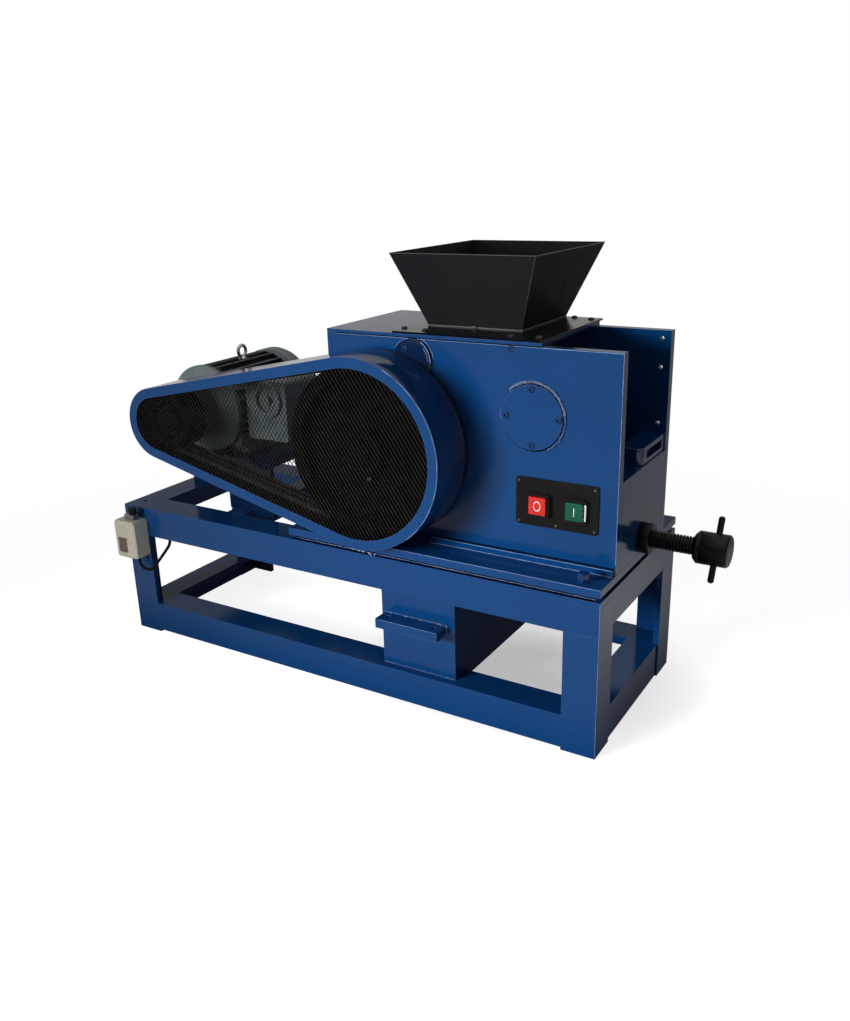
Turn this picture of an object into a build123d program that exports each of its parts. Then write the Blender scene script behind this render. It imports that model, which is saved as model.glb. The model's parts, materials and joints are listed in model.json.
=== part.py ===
from build123d import *
from math import acos, atan2, cos, degrees, radians, sin, tan
import os

# All lengths are in millimetres: x from the frame's left end, y from its front face, z up from the floor.

# Frame of angle iron
FRAME_W = 430
FRAME_TOP = 322
ANGLE = 70
ANGLE_T = 12
RAIL_LIFT = 6
REAR_FLANGE = 52
END_RAIL_LIFT = 3
END_RAIL_INSET = 3
BEAM_W = 50
BEAM_X = 262
BEAM_INSET = 15
TOP_HOLE_X = 29
TOP_HOLE_Y = 42
TOP_HOLE_R = 6

# Base plate on packing strips
BASE_AHEAD = 80
BASE_T = 16
PACK_T = 9
STRIP_INSET = 10

# Crusher body, between the frame's long rails and up to its right end
BODY_X0 = 580
BODY_L = 620
BODY_FRONT_GAP = 1
BODY_REAR_GAP = 14
BODY_H = 407
PLATE_T = 20
END_T = 14
WALL_T = 50
WALL_H = 173
LEDGE_H = 34
LEDGE_L = 131
LEDGE_BACK = 3
SLOT_H = 16
SLOT_D = 14
COVER_T = 7
COVER_L = 468
COVER_HOLE_MARGIN = 6
FLANGE_T = 4
FLANGE_L = 313
FLANGE_FRONT = 1
FLANGE_REAR = 16
FOOT_BAR_H = 13
FOOT_BAR_T = 8
FOOT_BAR_IN = 232
PLATE_HOLE_R = 4.5
PLATE_HOLE_INSET = 19
PLATE_HOLE_DROPS = (15, 71, 181)

# Hopper of folded sheet
HOPPER_LOW_L = 202
HOPPER_LOW_W = 204
HOPPER_FLARE_X = 46.5
HOPPER_FLARE_X1 = 54
HOPPER_FLARE_Y = 61
HOPPER_FLARE_Y1 = 65
HOPPER_H = 142.5
HOPPER_EDGE = 4
HOPPER_FROM_FLANGE = 33
SHEET = 3

# Hinges of the two jaws, and their round caps
SWING_AHEAD = 75
SWING_CAP_R = 42.5
SWING_CAP_T = 6
SWING_BORE_R = 33
PIVOT_AHEAD = 251
PIVOT_DROP = 128
PIVOT_CAP_R = 61
PIVOT_CAP_T = 4
PIN_R = 30

# Jaws and their toothed liners
JAW_GAP = 26
JAW_SIDE_GAP = 3
JAW_LIFT = 8
HEAD_DROP = 30
JAW_T = 46
LINER_T = 14
TOOTH_PITCH = 23
TOOTH_H = 6
THROAT = 118
OUTLET_AHEAD = 78

# Drive
SHAFT_INSET = 125
SHAFT_R = 22.5
SHAFT_GAP = 1.5
HOUSING_R = 58
HOUSING_GAP = 6
REAR_HOUSING_L = 42
FLYWHEEL_R = 172
FLYWHEEL_RIM = 26
FLYWHEEL_HUB_R = 44
WHEEL_W = 58
WHEEL_WEB = 16
WHEEL_GAP = 21
PULLEY_R = 65
PULLEY_RIM = 20
PULLEY_HUB_R = 30
BELTS = 3
BELT_PITCH = 18
BELT_W = 8
BELT_H = 8
GROOVE_W = 13
GROOVE_FLOOR = 9
GROOVE_DEPTH = 12
GROOVE_GAP = 2
SHAFT_END = 5
NOSE_GAP = 2

# Belt guard
GUARD_CLEAR = 16
GUARD_SMALL_CLEAR = 10.6
GUARD_SHEET = 3
GUARD_FRONT = 34
GUARD_STANDOFF = 7
GUARD_LIFT = 2
RIM_W = 21
TAB_W = 24
TAB_T = 8
TAB_TURNS = (-75, -35, 0, 35, 95)
MESH_T = 2
MESH_PITCH_X = 84
MESH_PITCH_Z = 60
MESH_BAR = 5

# Motor and its bench
MOTOR_X = 184
SHAFT_HEIGHT = 100
MOTOR_R = 100
MOTOR_CORE_R = 86
MOTOR_Y0 = 92
SHIELD_L = 34
SHIELD_NOSE_R = 74
MOTOR_L = 258
COVER_LENGTH = 48
MOTOR_SHAFT_R = 14
FINS = 24
FIN_T = 3
VENTS = 6
VENT_H = 6
VENT_D = 5
FOOT_SPAN = 160
FOOT_LEN = 180
FOOT_W = 44
FOOT_H = 14
EYE_Y = 255
EYE_R = 13
EYE_WIRE = 4
BENCH_H = 125
BENCH_T = 10
BENCH_X1 = 389
BENCH_Y0 = 98
BENCH_Y1 = 340
POST_X0 = 247
POST_T = 13
POST_WEB_X = 332
POST_STEP = 14
STAND_X0 = 8
STAND_X1 = 60
STAND_Y0 = 225
BOX_X1 = 402
BOX_Y0 = 140
BOX_D = 120
BOX_DROP = 63
BOX_RISE = 73
BOX_ROUND = 10
RING_X = 351
RING_RISE = 31
RING_R = 40
RING_BORE = 27
RING_T = 8
RING_HUB_R = 11

# Discharge chute of welded sheet and the bar across its front
CHUTE_BACK = 140
CHUTE_W = 173
CHUTE_Y0 = 20
CHUTE_T = 5
CHUTE_DROP = 14
BRACKET_W = 145
BRACKET_D = 40
BRACKET_H = 20
BRACKET_TOP = 194
BRACKET_INSET = 9
BRACKET_HOLES = 108
BRACKET_HOLE_R = 5.5

# Adjusting gear
SCREW_R = 17.5
SCREW_GAP = 1
COLLAR_R = 30
COLLAR_L = 22
SCREW_OUT = 104
KNOB_L = 64
KNOB_R = 31
KNOB_NECK = 12
KNOB_GROOVE = 2
TBAR_IN = 25
TBAR_R = 6
TBAR_L = 126
TBAR_TILT = 25.6
PAD_R = 20
PAD_L = 16
PAD_GAP = 6

# Control panel and its buttons
PANEL_INSET = 35
PANEL_L = 164
PANEL_RAISE = 4
PANEL_H = 93
PANEL_T = 3
PANEL_ROUND = 4
STOP_IN = 48
START_IN = 121
BUTTON_UP = 43
BEZEL = 46
BEZEL_T = 8
BUTTON = 34
BUTTON_T = 9
BUTTON_GAP = 1
BUTTON_OUT = 4
TRAVEL = 3

# Switch box on the left leg
SWITCH_X0 = 3
SWITCH_L = 66
SWITCH_D = 44
SWITCH_DOWN = 26
SWITCH_H = 92
SWITCH_ROUND = 5
WINDOW_IN = 11
WINDOW_L = 28
WINDOW_H = 37
WINDOW_UP = 14
WINDOW_SINK = 3
CLAMP_X0 = 27
CLAMP_L = 30
CLAMP_BACK = 12
CLAMP_D = 16
CLAMP_H = 13
STUB_R = 9
STUB_H = 17
GLAND_LOW = (40, -12)
GLAND_R = 8
GLAND_DROP = 7

# Heights and places that follow from the sizes above
FRAME_L = BODY_X0 + BODY_L
TOP_Z0 = FRAME_TOP - ANGLE_T
UPPER_Z0 = FRAME_TOP - ANGLE
LOWER_TOP = RAIL_LIFT + ANGLE
BASE_X0 = BODY_X0 - BASE_AHEAD
BASE_TOP = FRAME_TOP + PACK_T + BASE_T
BODY_Y0 = ANGLE + BODY_FRONT_GAP
BODY_Y1 = FRAME_W - ANGLE - BODY_REAR_GAP
INNER_Y0 = BODY_Y0 + PLATE_T
INNER_Y1 = BODY_Y1 - PLATE_T
MID_Y = (BODY_Y0 + BODY_Y1) / 2
GUARD_R = FLYWHEEL_R + GUARD_CLEAR + GUARD_SHEET
GUARD_SMALL_R = PULLEY_R + GUARD_SMALL_CLEAR + GUARD_SHEET
WHEEL_Y1 = BODY_Y0 - WHEEL_GAP
WHEEL_Y0 = WHEEL_Y1 - WHEEL_W
WHEEL_MID = (WHEEL_Y0 + WHEEL_Y1) / 2
GUARD_Y0 = WHEEL_Y0 - GUARD_FRONT
SHAFT_X = BODY_X0 + SHAFT_INSET
SHAFT_Z = BASE_TOP + GUARD_LIFT + GUARD_R
BODY_TOP = BASE_TOP + BODY_H
COVER_TOP = BODY_TOP + COVER_T
FLANGE_TOP = COVER_TOP + FLANGE_T
COVER_X1 = BODY_X0 + COVER_L
FLANGE_X0 = COVER_X1 - FLANGE_L
SWING_X = SHAFT_X + SWING_AHEAD
SWING_Z = BODY_TOP - SWING_CAP_R
OUTLET_X = SWING_X + OUTLET_AHEAD
PIVOT_X = SWING_X + PIVOT_AHEAD
PIVOT_Z = BODY_TOP - PIVOT_DROP
BENCH_TOP = FRAME_TOP + BENCH_H
MOTOR_Z = BENCH_TOP + SHAFT_HEIGHT
MOTOR_Y1 = MOTOR_Y0 + MOTOR_L
BOX_Z0 = MOTOR_Z - BOX_DROP
BOX_Z1 = MOTOR_Z + BOX_RISE
RING = (RING_X, MOTOR_Z + RING_RISE)
WALL_X0 = FRAME_L - WALL_T
WALL_TOP = BASE_TOP + WALL_H
SCREW_Z = BASE_TOP + COLLAR_R
KNOB_X0 = FRAME_L + SCREW_OUT
KNOB_X1 = KNOB_X0 + KNOB_L
HOPPER_X0 = FLANGE_X0 + HOPPER_FROM_FLANGE
HOPPER_Y1 = BODY_Y1 + FLANGE_REAR - HOPPER_EDGE
HOPPER_Y0 = HOPPER_Y1 - HOPPER_LOW_W
CHUTE_X0 = OUTLET_X - CHUTE_BACK
CHUTE_X1 = CHUTE_X0 + CHUTE_W
BELT_IN = GROOVE_DEPTH - GROOVE_GAP
SHAFT = (SHAFT_X, SHAFT_Z)
SWING = (SWING_X, SWING_Z)
PIVOT = (PIVOT_X, PIVOT_Z)
MOTOR = (MOTOR_X, MOTOR_Z)

# The origin is under the middle of the bounding box.
CENTRE_X = KNOB_X1 / 2
CENTRE_Y = (GUARD_Y0 + FRAME_W) / 2


def block(x0, x1, y0, y1, z0, z1):
    box = Box(x1 - x0, y1 - y0, z1 - z0, align=(Align.MIN, Align.MIN, Align.MIN))
    return Pos(x0, y0, z0) * box


def rod_x(y, z, x0, x1, r):
    return Pos((x0 + x1) / 2, y, z) * Rot(0, 90, 0) * Cylinder(r, x1 - x0)


def rod_y(axis, y0, y1, r):
    return Pos(axis[0], (y0 + y1) / 2, axis[1]) * Rot(90, 0, 0) * Cylinder(r, y1 - y0)


def rod_z(x, y, z0, z1, r):
    return Pos(x, y, (z0 + z1) / 2) * Cylinder(r, z1 - z0)


def slab_y(face, y0, y1):
    return extrude(Plane.XZ.offset(-y1) * face, amount=y1 - y0, dir=(0, -1, 0))


def prism_y(points, y0, y1):
    return slab_y(Polygon(*points, align=None), y0, y1)


def turned_y(axis, profile):
    # The profile is a list of radius and y.
    return Pos(axis[0], 0, axis[1]) * revolve(Polygon(*profile, align=None), Axis.Y)


def rounded(bar, axis, r):
    return fillet(bar.edges().filter_by(axis), r)


def eased(bar, axis, r):
    return chamfer(bar.edges().filter_by(axis), r)


def tangent_points(big_r, small_r):
    dx = MOTOR_X - SHAFT_X
    dz = MOTOR_Z - SHAFT_Z
    away = atan2(dz, dx)
    lean = acos((big_r - small_r) / (dx * dx + dz * dz) ** 0.5)
    sides = []
    for turn in (away - lean, away + lean):
        big = (SHAFT_X + big_r * cos(turn), SHAFT_Z + big_r * sin(turn))
        small = (MOTOR_X + small_r * cos(turn), MOTOR_Z + small_r * sin(turn))
        sides.append((big, small))
    big_far = (SHAFT_X - big_r * cos(away), SHAFT_Z - big_r * sin(away))
    small_far = (MOTOR_X + small_r * cos(away), MOTOR_Z + small_r * sin(away))
    return sides, big_far, small_far


def loop_face(big_r, small_r):
    (upper, lower), big_far, small_far = tangent_points(big_r, small_r)
    edges = [
        Line(upper[0], upper[1]),
        ThreePointArc(upper[1], small_far, lower[1]),
        Line(lower[1], lower[0]),
        ThreePointArc(lower[0], big_far, upper[0]),
    ]
    return make_face(edges)


def funnel(low, rim, z0, z1):
    faces = []
    for (x0, x1, y0, y1), z in ((low, z0), (rim, z1)):
        corners = [(x0, y0), (x1, y0), (x1, y1), (x0, y1)]
        faces.append(Pos(0, 0, z) * Polygon(*corners, align=None))
    return loft(faces, ruled=True)


def save(shape, node):
    export_step(Pos(-CENTRE_X, -CENTRE_Y, 0) * shape, f"parts/{node}.step")


# Frame


def flange_y(at_rear, x0, x1, z0, z1):
    y0 = FRAME_W - ANGLE_T if at_rear else 0
    return block(x0, x1, y0, y0 + ANGLE_T, z0, z1)


def frame_legs():
    legs = []
    for x0, at_right in ((0, False), (FRAME_L - ANGLE, True)):
        side_x = FRAME_L - ANGLE_T if at_right else 0
        front_top = UPPER_Z0 if at_right else TOP_Z0
        for y0, at_rear in ((0, False), (FRAME_W - ANGLE, True)):
            leg = flange_y(at_rear, x0, x0 + ANGLE, 0, front_top)
            leg += block(side_x, side_x + ANGLE_T, y0, y0 + ANGLE, 0, UPPER_Z0)
            side_y = y0 if at_rear else y0 + ANGLE_T
            leg += block(side_x, side_x + ANGLE_T, side_y, side_y + ANGLE - ANGLE_T, UPPER_Z0, TOP_Z0)
            legs.append(leg)
    return Compound(legs)


def frame_long_rails():
    rails = []
    for y0, at_rear in ((0, False), (FRAME_W - ANGLE, True)):
        upper = block(ANGLE, FRAME_L - ANGLE, y0, y0 + ANGLE, TOP_Z0, FRAME_TOP)
        rails.append(upper + flange_y(at_rear, ANGLE, FRAME_L, UPPER_Z0, TOP_Z0))
        shelf_y = y0 if at_rear else y0 + ANGLE_T
        lower = block(ANGLE_T, FRAME_L - ANGLE_T, shelf_y, shelf_y + ANGLE - ANGLE_T, LOWER_TOP - ANGLE_T, LOWER_TOP)
        low = LOWER_TOP - REAR_FLANGE if at_rear else RAIL_LIFT
        rails.append(lower + flange_y(at_rear, ANGLE, FRAME_L - ANGLE, low, LOWER_TOP))
    return Compound(rails)


def frame_end_rails():
    rails = []
    y1 = FRAME_W - ANGLE
    shelf_z = LOWER_TOP - ANGLE_T
    for x0, at_right in ((0, False), (FRAME_L - ANGLE, True)):
        side_x = FRAME_L - ANGLE_T if at_right else 0
        upper = block(x0, x0 + ANGLE, 0, FRAME_W, TOP_Z0, FRAME_TOP)
        rails.append(upper + block(side_x, side_x + ANGLE_T, ANGLE, y1, UPPER_Z0, TOP_Z0))
        inset = -END_RAIL_INSET if at_right else END_RAIL_INSET
        side_x += inset
        lower = block(side_x, side_x + ANGLE_T, ANGLE, y1, END_RAIL_LIFT, LOWER_TOP)
        shelf_x = x0 if at_right else side_x
        rails.append(lower + block(shelf_x, shelf_x + ANGLE - END_RAIL_INSET, ANGLE, y1, shelf_z, LOWER_TOP))
    rails[0] -= rod_z(TOP_HOLE_X, TOP_HOLE_Y, TOP_Z0, FRAME_TOP, TOP_HOLE_R)
    return Compound(rails)


def cross_beams():
    beams = []
    for x in (BEAM_X, BASE_X0 + BEAM_INSET):
        beams.append(block(x, x + BEAM_W, ANGLE, FRAME_W - ANGLE, FRAME_TOP - BEAM_W, FRAME_TOP))
    return Compound(beams)


def packing_strips():
    strips = []
    width = ANGLE - 2 * STRIP_INSET
    for y in (STRIP_INSET, FRAME_W - ANGLE + STRIP_INSET):
        strips.append(block(BASE_X0, FRAME_L - STRIP_INSET, y, y + width, FRAME_TOP, FRAME_TOP + PACK_T))
    return Compound(strips)


def base_plate():
    plate = block(BASE_X0, FRAME_L, 0, FRAME_W, BASE_TOP - BASE_T, BASE_TOP)
    return plate - block(CHUTE_X0 + 22, CHUTE_X1 - 21, INNER_Y0 + 9, INNER_Y1 - 9, BASE_TOP - BASE_T, BASE_TOP)


# Crusher body


def side_plate_front():
    plate = block(BODY_X0, FRAME_L, BODY_Y0, INNER_Y0, BASE_TOP, BODY_TOP)
    plate += block(BODY_X0 + FOOT_BAR_IN, FRAME_L - 3, BODY_Y0 - FOOT_BAR_T, BODY_Y0, BASE_TOP, BASE_TOP + FOOT_BAR_H)
    return plate - rod_y(SHAFT, BODY_Y0, INNER_Y0, SHAFT_R + SHAFT_GAP)


def side_plate_rear():
    plate = block(BODY_X0, FRAME_L, INNER_Y1, BODY_Y1, BASE_TOP, BODY_TOP)
    plate -= rod_y(SHAFT, INNER_Y1, BODY_Y1, SHAFT_R + SHAFT_GAP)
    for drop in PLATE_HOLE_DROPS:
        at = (FRAME_L - PLATE_HOLE_INSET, BODY_TOP - drop)
        plate -= rod_y(at, INNER_Y1, BODY_Y1, PLATE_HOLE_R)
    return plate


def end_plate_left():
    return block(BODY_X0, BODY_X0 + END_T, INNER_Y0, INNER_Y1, BASE_TOP, BODY_TOP)


def end_wall_right():
    wall = block(WALL_X0, FRAME_L, INNER_Y0, INNER_Y1, BASE_TOP, WALL_TOP)
    return wall - rod_x(MID_Y, SCREW_Z, WALL_X0, FRAME_L, SCREW_R + SCREW_GAP)


def ledge_block():
    x1 = FRAME_L - LEDGE_BACK
    top = WALL_TOP + LEDGE_H
    y0 = INNER_Y1 - LEDGE_L
    ledge = block(WALL_X0, x1, y0, INNER_Y1, WALL_TOP, top)
    corners = ledge.edges().filter_by(Axis.Z).group_by(Axis.Y)[0]
    ledge = fillet(corners.sort_by(Axis.X)[-1], SLOT_D)
    slot_z = top - (LEDGE_H - SLOT_H) / 2
    return ledge - block(x1 - SLOT_D, x1, y0 + 2 * SLOT_D, INNER_Y1 - SLOT_D, slot_z - SLOT_H, slot_z)


def throat_hole(z0, z1):
    x0 = HOPPER_X0 + COVER_HOLE_MARGIN
    x1 = HOPPER_X0 + HOPPER_LOW_L - COVER_HOLE_MARGIN
    return block(x0, x1, HOPPER_Y0 + COVER_HOLE_MARGIN, INNER_Y1, z0, z1)


def cover_plate():
    cover = block(BODY_X0, COVER_X1, BODY_Y0, BODY_Y1, BODY_TOP, COVER_TOP)
    return cover - throat_hole(BODY_TOP, COVER_TOP)


def hopper_flange():
    flange = block(FLANGE_X0, COVER_X1, BODY_Y0 - FLANGE_FRONT, BODY_Y1 + FLANGE_REAR, COVER_TOP, FLANGE_TOP)
    return flange - throat_hole(COVER_TOP, FLANGE_TOP)


def hopper():
    x1 = HOPPER_X0 + HOPPER_LOW_L
    low = [HOPPER_X0, x1, HOPPER_Y0, HOPPER_Y1]
    rim = [HOPPER_X0 - HOPPER_FLARE_X, x1 + HOPPER_FLARE_X1, HOPPER_Y0 - HOPPER_FLARE_Y, HOPPER_Y1 + HOPPER_FLARE_Y1]
    inward = (SHEET, -SHEET, SHEET, -SHEET)
    low_in = [v + s for v, s in zip(low, inward)]
    rim_in = [v + s for v, s in zip(rim, inward)]
    top = FLANGE_TOP + HOPPER_H
    return funnel(low, rim, FLANGE_TOP, top) - funnel(low_in, rim_in, FLANGE_TOP, top)


def caps(axis, r, t):
    front = chamfer(rod_y(axis, BODY_Y0 - t, BODY_Y0, r).edges().sort_by(Axis.Y)[0], t / 4)
    rear = chamfer(rod_y(axis, BODY_Y1, BODY_Y1 + t, r).edges().sort_by(Axis.Y)[-1], t / 4)
    return Compound([front, rear])


def pivot_caps():
    return caps(PIVOT, PIVOT_CAP_R, PIVOT_CAP_T)


def hinge_covers():
    return caps(SWING, SWING_CAP_R, SWING_CAP_T)


def bearing_housings():
    bore = SHAFT_R + SHAFT_GAP
    front = rod_y(SHAFT, WHEEL_Y1 + HOUSING_GAP, BODY_Y0, HOUSING_R)
    front -= rod_y(SHAFT, WHEEL_Y1, BODY_Y0, bore)
    end = BODY_Y1 + REAR_HOUSING_L
    profile = [(bore, BODY_Y1), (HOUSING_R + 12, BODY_Y1), (HOUSING_R + 12, BODY_Y1 + 14)]
    profile += [(HOUSING_R, BODY_Y1 + 14), (HOUSING_R - 8, end)]
    profile += [(0, end), (0, end - 8), (bore, end - 8)]
    return Compound([front, turned_y(SHAFT, profile)])


# Jaws


def liner(foot, head):
    # A plate with upright ridges across the jaw's width, on the line from foot to head.
    width = INNER_Y1 - INNER_Y0 - 2 * JAW_SIDE_GAP
    length = ((head[0] - foot[0]) ** 2 + (head[1] - foot[1]) ** 2) ** 0.5
    teeth = int(width / TOOTH_PITCH)
    points = [(0, width / 2), (0, -width / 2)]
    for k in range(teeth):
        y = -width / 2 + (k + 0.5) * width / teeth
        points.append((LINER_T - TOOTH_H, y - width / teeth / 2))
        points.append((LINER_T, y))
    points.append((LINER_T - TOOTH_H, width / 2))
    plate = extrude(Polygon(*points, align=None), amount=length)
    lean = degrees(atan2(head[0] - foot[0], head[1] - foot[1]))
    return plate, Pos(foot[0], MID_Y, foot[1]) * Rot(0, lean, 0)


def swing_jaw():
    y0 = INNER_Y0 + JAW_SIDE_GAP
    y1 = INNER_Y1 - JAW_SIDE_GAP
    foot = (OUTLET_X - JAW_GAP / 2 - LINER_T, BASE_TOP + JAW_LIFT)
    head = (SWING_X + SWING_BORE_R, SWING_Z - SWING_BORE_R)
    plate, place = liner(foot, head)
    back = [(foot[0] - JAW_T, foot[1]), foot, head, (SWING_X, SWING_Z), (SWING_X - SWING_BORE_R, SWING_Z)]
    jaw = prism_y(back, y0, y1) + rod_y(SWING, y0, y1, SWING_BORE_R)
    return jaw + place * plate


def adjustable_jaw():
    y0 = INNER_Y0 + JAW_SIDE_GAP
    y1 = INNER_Y1 - JAW_SIDE_GAP
    foot = (OUTLET_X + JAW_GAP / 2 + LINER_T, BASE_TOP + JAW_LIFT)
    head = (SWING_X + SWING_BORE_R + LINER_T * 2 + THROAT, BODY_TOP - HEAD_DROP)
    plate, place = liner(foot, head)
    back = [foot, (foot[0] + JAW_T, foot[1]), (PIVOT_X, PIVOT_Z - PIN_R), (PIVOT_X, PIVOT_Z), head]
    jaw = prism_y(back, y0, y1) + rod_y(PIVOT, y0, y1, PIN_R)
    rear = foot[0] + JAW_T
    jaw += rod_x(MID_Y, SCREW_Z, rear - JAW_T / 2, rear + JAW_T / 2, PAD_R)
    return jaw + place * Rot(0, 0, 180) * plate


# Drive


def wheel_profile(outer_r, inner_r, hub_r, bore_r):
    low = WHEEL_MID - WHEEL_WEB / 2
    high = WHEEL_MID + WHEEL_WEB / 2
    points = [(bore_r, WHEEL_Y0), (hub_r, WHEEL_Y0), (hub_r, low), (inner_r, low), (inner_r, WHEEL_Y0)]
    points.append((outer_r, WHEEL_Y0))
    for k in range(BELTS):
        y = WHEEL_MID + (k - (BELTS - 1) / 2) * BELT_PITCH
        points.append((outer_r, y - GROOVE_W / 2))
        points.append((outer_r - GROOVE_DEPTH, y - GROOVE_FLOOR / 2))
        points.append((outer_r - GROOVE_DEPTH, y + GROOVE_FLOOR / 2))
        points.append((outer_r, y + GROOVE_W / 2))
    points += [(outer_r, WHEEL_Y1), (inner_r, WHEEL_Y1), (inner_r, high), (hub_r, high), (hub_r, WHEEL_Y1)]
    points.append((bore_r, WHEEL_Y1))
    return points


def eccentric_shaft():
    return rod_y(SHAFT, WHEEL_Y0 - SHAFT_END, BODY_Y1 + REAR_HOUSING_L - 12, SHAFT_R)


def flywheel():
    return turned_y(SHAFT, wheel_profile(FLYWHEEL_R, FLYWHEEL_R - FLYWHEEL_RIM, FLYWHEEL_HUB_R, SHAFT_R))


def motor_shaft():
    return rod_y(MOTOR, WHEEL_Y0 - SHAFT_END, MOTOR_Y0 - NOSE_GAP, MOTOR_SHAFT_R)


def motor_pulley():
    return turned_y(MOTOR, wheel_profile(PULLEY_R, PULLEY_R - PULLEY_RIM, PULLEY_HUB_R, MOTOR_SHAFT_R))


def v_belts():
    outside = loop_face(FLYWHEEL_R - BELT_IN + BELT_H, PULLEY_R - BELT_IN + BELT_H)
    inside = loop_face(FLYWHEEL_R - BELT_IN, PULLEY_R - BELT_IN)
    belts = []
    for k in range(BELTS):
        y = WHEEL_MID + (k - (BELTS - 1) / 2) * BELT_PITCH
        belts.append(slab_y(outside - inside, y - BELT_W / 2, y + BELT_W / 2))
    return Compound(belts)


# Belt guard


def guard_band():
    ring = loop_face(GUARD_R, GUARD_SMALL_R) - loop_face(GUARD_R - GUARD_SHEET, GUARD_SMALL_R - GUARD_SHEET)
    rear = BODY_Y0 - GUARD_STANDOFF
    band = slab_y(ring, GUARD_Y0 + GUARD_SHEET, rear)
    reach = GUARD_R - GUARD_SHEET - TAB_T / 2
    for turn in TAB_TURNS:
        x = SHAFT_X + reach * cos(radians(turn))
        z = SHAFT_Z + reach * sin(radians(turn))
        tab = Box(TAB_T, GUARD_STANDOFF + TAB_W, TAB_W)
        band += Pos(x, BODY_Y0 - (GUARD_STANDOFF + TAB_W) / 2, z) * Rot(0, -turn, 0) * tab
    return band


def guard_rim():
    ring = loop_face(GUARD_R, GUARD_SMALL_R) - loop_face(GUARD_R - RIM_W, GUARD_SMALL_R - RIM_W)
    return slab_y(ring, GUARD_Y0, GUARD_Y0 + GUARD_SHEET)


def in_guard(x, z, margin):
    (upper, lower), _, _ = tangent_points(GUARD_R, GUARD_SMALL_R)
    if (x - SHAFT_X) ** 2 + (z - SHAFT_Z) ** 2 < (GUARD_R - margin) ** 2:
        return True
    if (x - MOTOR_X) ** 2 + (z - MOTOR_Z) ** 2 < (GUARD_SMALL_R - margin) ** 2:
        return True
    edges = []
    for big, small in (upper, lower):
        share = (x - small[0]) / (big[0] - small[0])
        if not 0 < share < 1:
            return False
        edges.append(small[1] + (big[1] - small[1]) * share)
    return min(edges) + margin < z < max(edges) - margin


def guard_mesh():
    margin = GUARD_SHEET + 1
    face = loop_face(GUARD_R - margin, GUARD_SMALL_R - margin)
    half_x = MESH_PITCH_X / 2 - MESH_BAR
    half_z = MESH_PITCH_Z / 2 - MESH_BAR
    across = int((SHAFT_X + 2 * GUARD_R - MOTOR_X) / MESH_PITCH_X)
    up = int(GUARD_R / MESH_PITCH_Z)
    diamonds = []
    for i in range(-across, across * 2):
        for j in range(-2 * up - 2, 2 * up + 3):
            x = MOTOR_X + i * MESH_PITCH_X / 2
            z = SHAFT_Z + j * MESH_PITCH_Z / 2
            corners = [(x - half_x, z), (x, z - half_z), (x + half_x, z), (x, z + half_z)]
            if (i + j) % 2 == 0 and all(in_guard(px, pz, 2 * margin) for px, pz in corners):
                diamonds.append(Polygon(*corners, align=None))
    return slab_y(face - diamonds, GUARD_Y0 + GUARD_SHEET, GUARD_Y0 + GUARD_SHEET + MESH_T)


def guard_post():
    top = BENCH_TOP - BENCH_T
    y1 = BENCH_Y0
    post = block(POST_WEB_X, BENCH_X1, y1 - POST_T, y1, FRAME_TOP, top)
    post += block(POST_X0, POST_WEB_X, y1 - POST_T + POST_STEP, y1 + POST_STEP, FRAME_TOP, top)
    return post + block(POST_WEB_X, POST_WEB_X + POST_T, y1 - POST_T, y1 + POST_STEP, FRAME_TOP, top)


# Motor


def motor_body():
    shield_end = MOTOR_Y0 + SHIELD_L
    profile = [(0, MOTOR_Y0 + 4), (MOTOR_SHAFT_R + 12, MOTOR_Y0 + 4), (MOTOR_SHAFT_R + 16, MOTOR_Y0)]
    profile += [(SHIELD_NOSE_R - 14, MOTOR_Y0), (SHIELD_NOSE_R, MOTOR_Y0 + 4)]
    profile += [(MOTOR_R - 7, shield_end - 16), (MOTOR_R, shield_end - 10), (MOTOR_R, shield_end)]
    profile += [(MOTOR_CORE_R, shield_end), (MOTOR_CORE_R, MOTOR_Y1 - 14), (MOTOR_R - 2, MOTOR_Y1 - 14)]
    profile += [(MOTOR_R - 2, MOTOR_Y1), (0, MOTOR_Y1)]
    shape = turned_y(MOTOR, profile)
    length = MOTOR_Y1 - 14 - shield_end
    depth = MOTOR_R - 2 - MOTOR_CORE_R + FIN_T
    fins = []
    for k in range(FINS):
        fin = Box(depth, length, FIN_T)
        at = Pos(MOTOR_CORE_R - FIN_T + depth / 2, 0, 0)
        fins.append(Pos(MOTOR_X, shield_end + length / 2, MOTOR_Z) * Rot(0, 360 * k / FINS, 0) * at * fin)
    shape += fins
    eye = EYE_R + EYE_WIRE
    pad_top = MOTOR_Z + MOTOR_R - 9
    shape += block(MOTOR_X - eye, MOTOR_X + eye, EYE_Y - eye, EYE_Y + eye, MOTOR_Z, pad_top)
    return shape - rod_z(MOTOR_X, EYE_Y, pad_top, MOTOR_Z + MOTOR_R, eye)


def motor_feet():
    y0 = MOTOR_Y0 + SHIELD_L + 8
    y1 = y0 + FOOT_LEN
    feet = []
    for side in (-1, 1):
        x = MOTOR_X + side * FOOT_SPAN / 2
        inner = x - side * FOOT_W / 4
        foot = block(x - FOOT_W / 2, x + FOOT_W / 2, y0, y1, BENCH_TOP, BENCH_TOP + FOOT_H)
        foot += block(inner - FOOT_H, inner + FOOT_H, y0, y1, BENCH_TOP, MOTOR_Z)
        feet.append(foot - rod_y(MOTOR, y0, y1, MOTOR_R))
    return Compound(feet)


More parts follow.
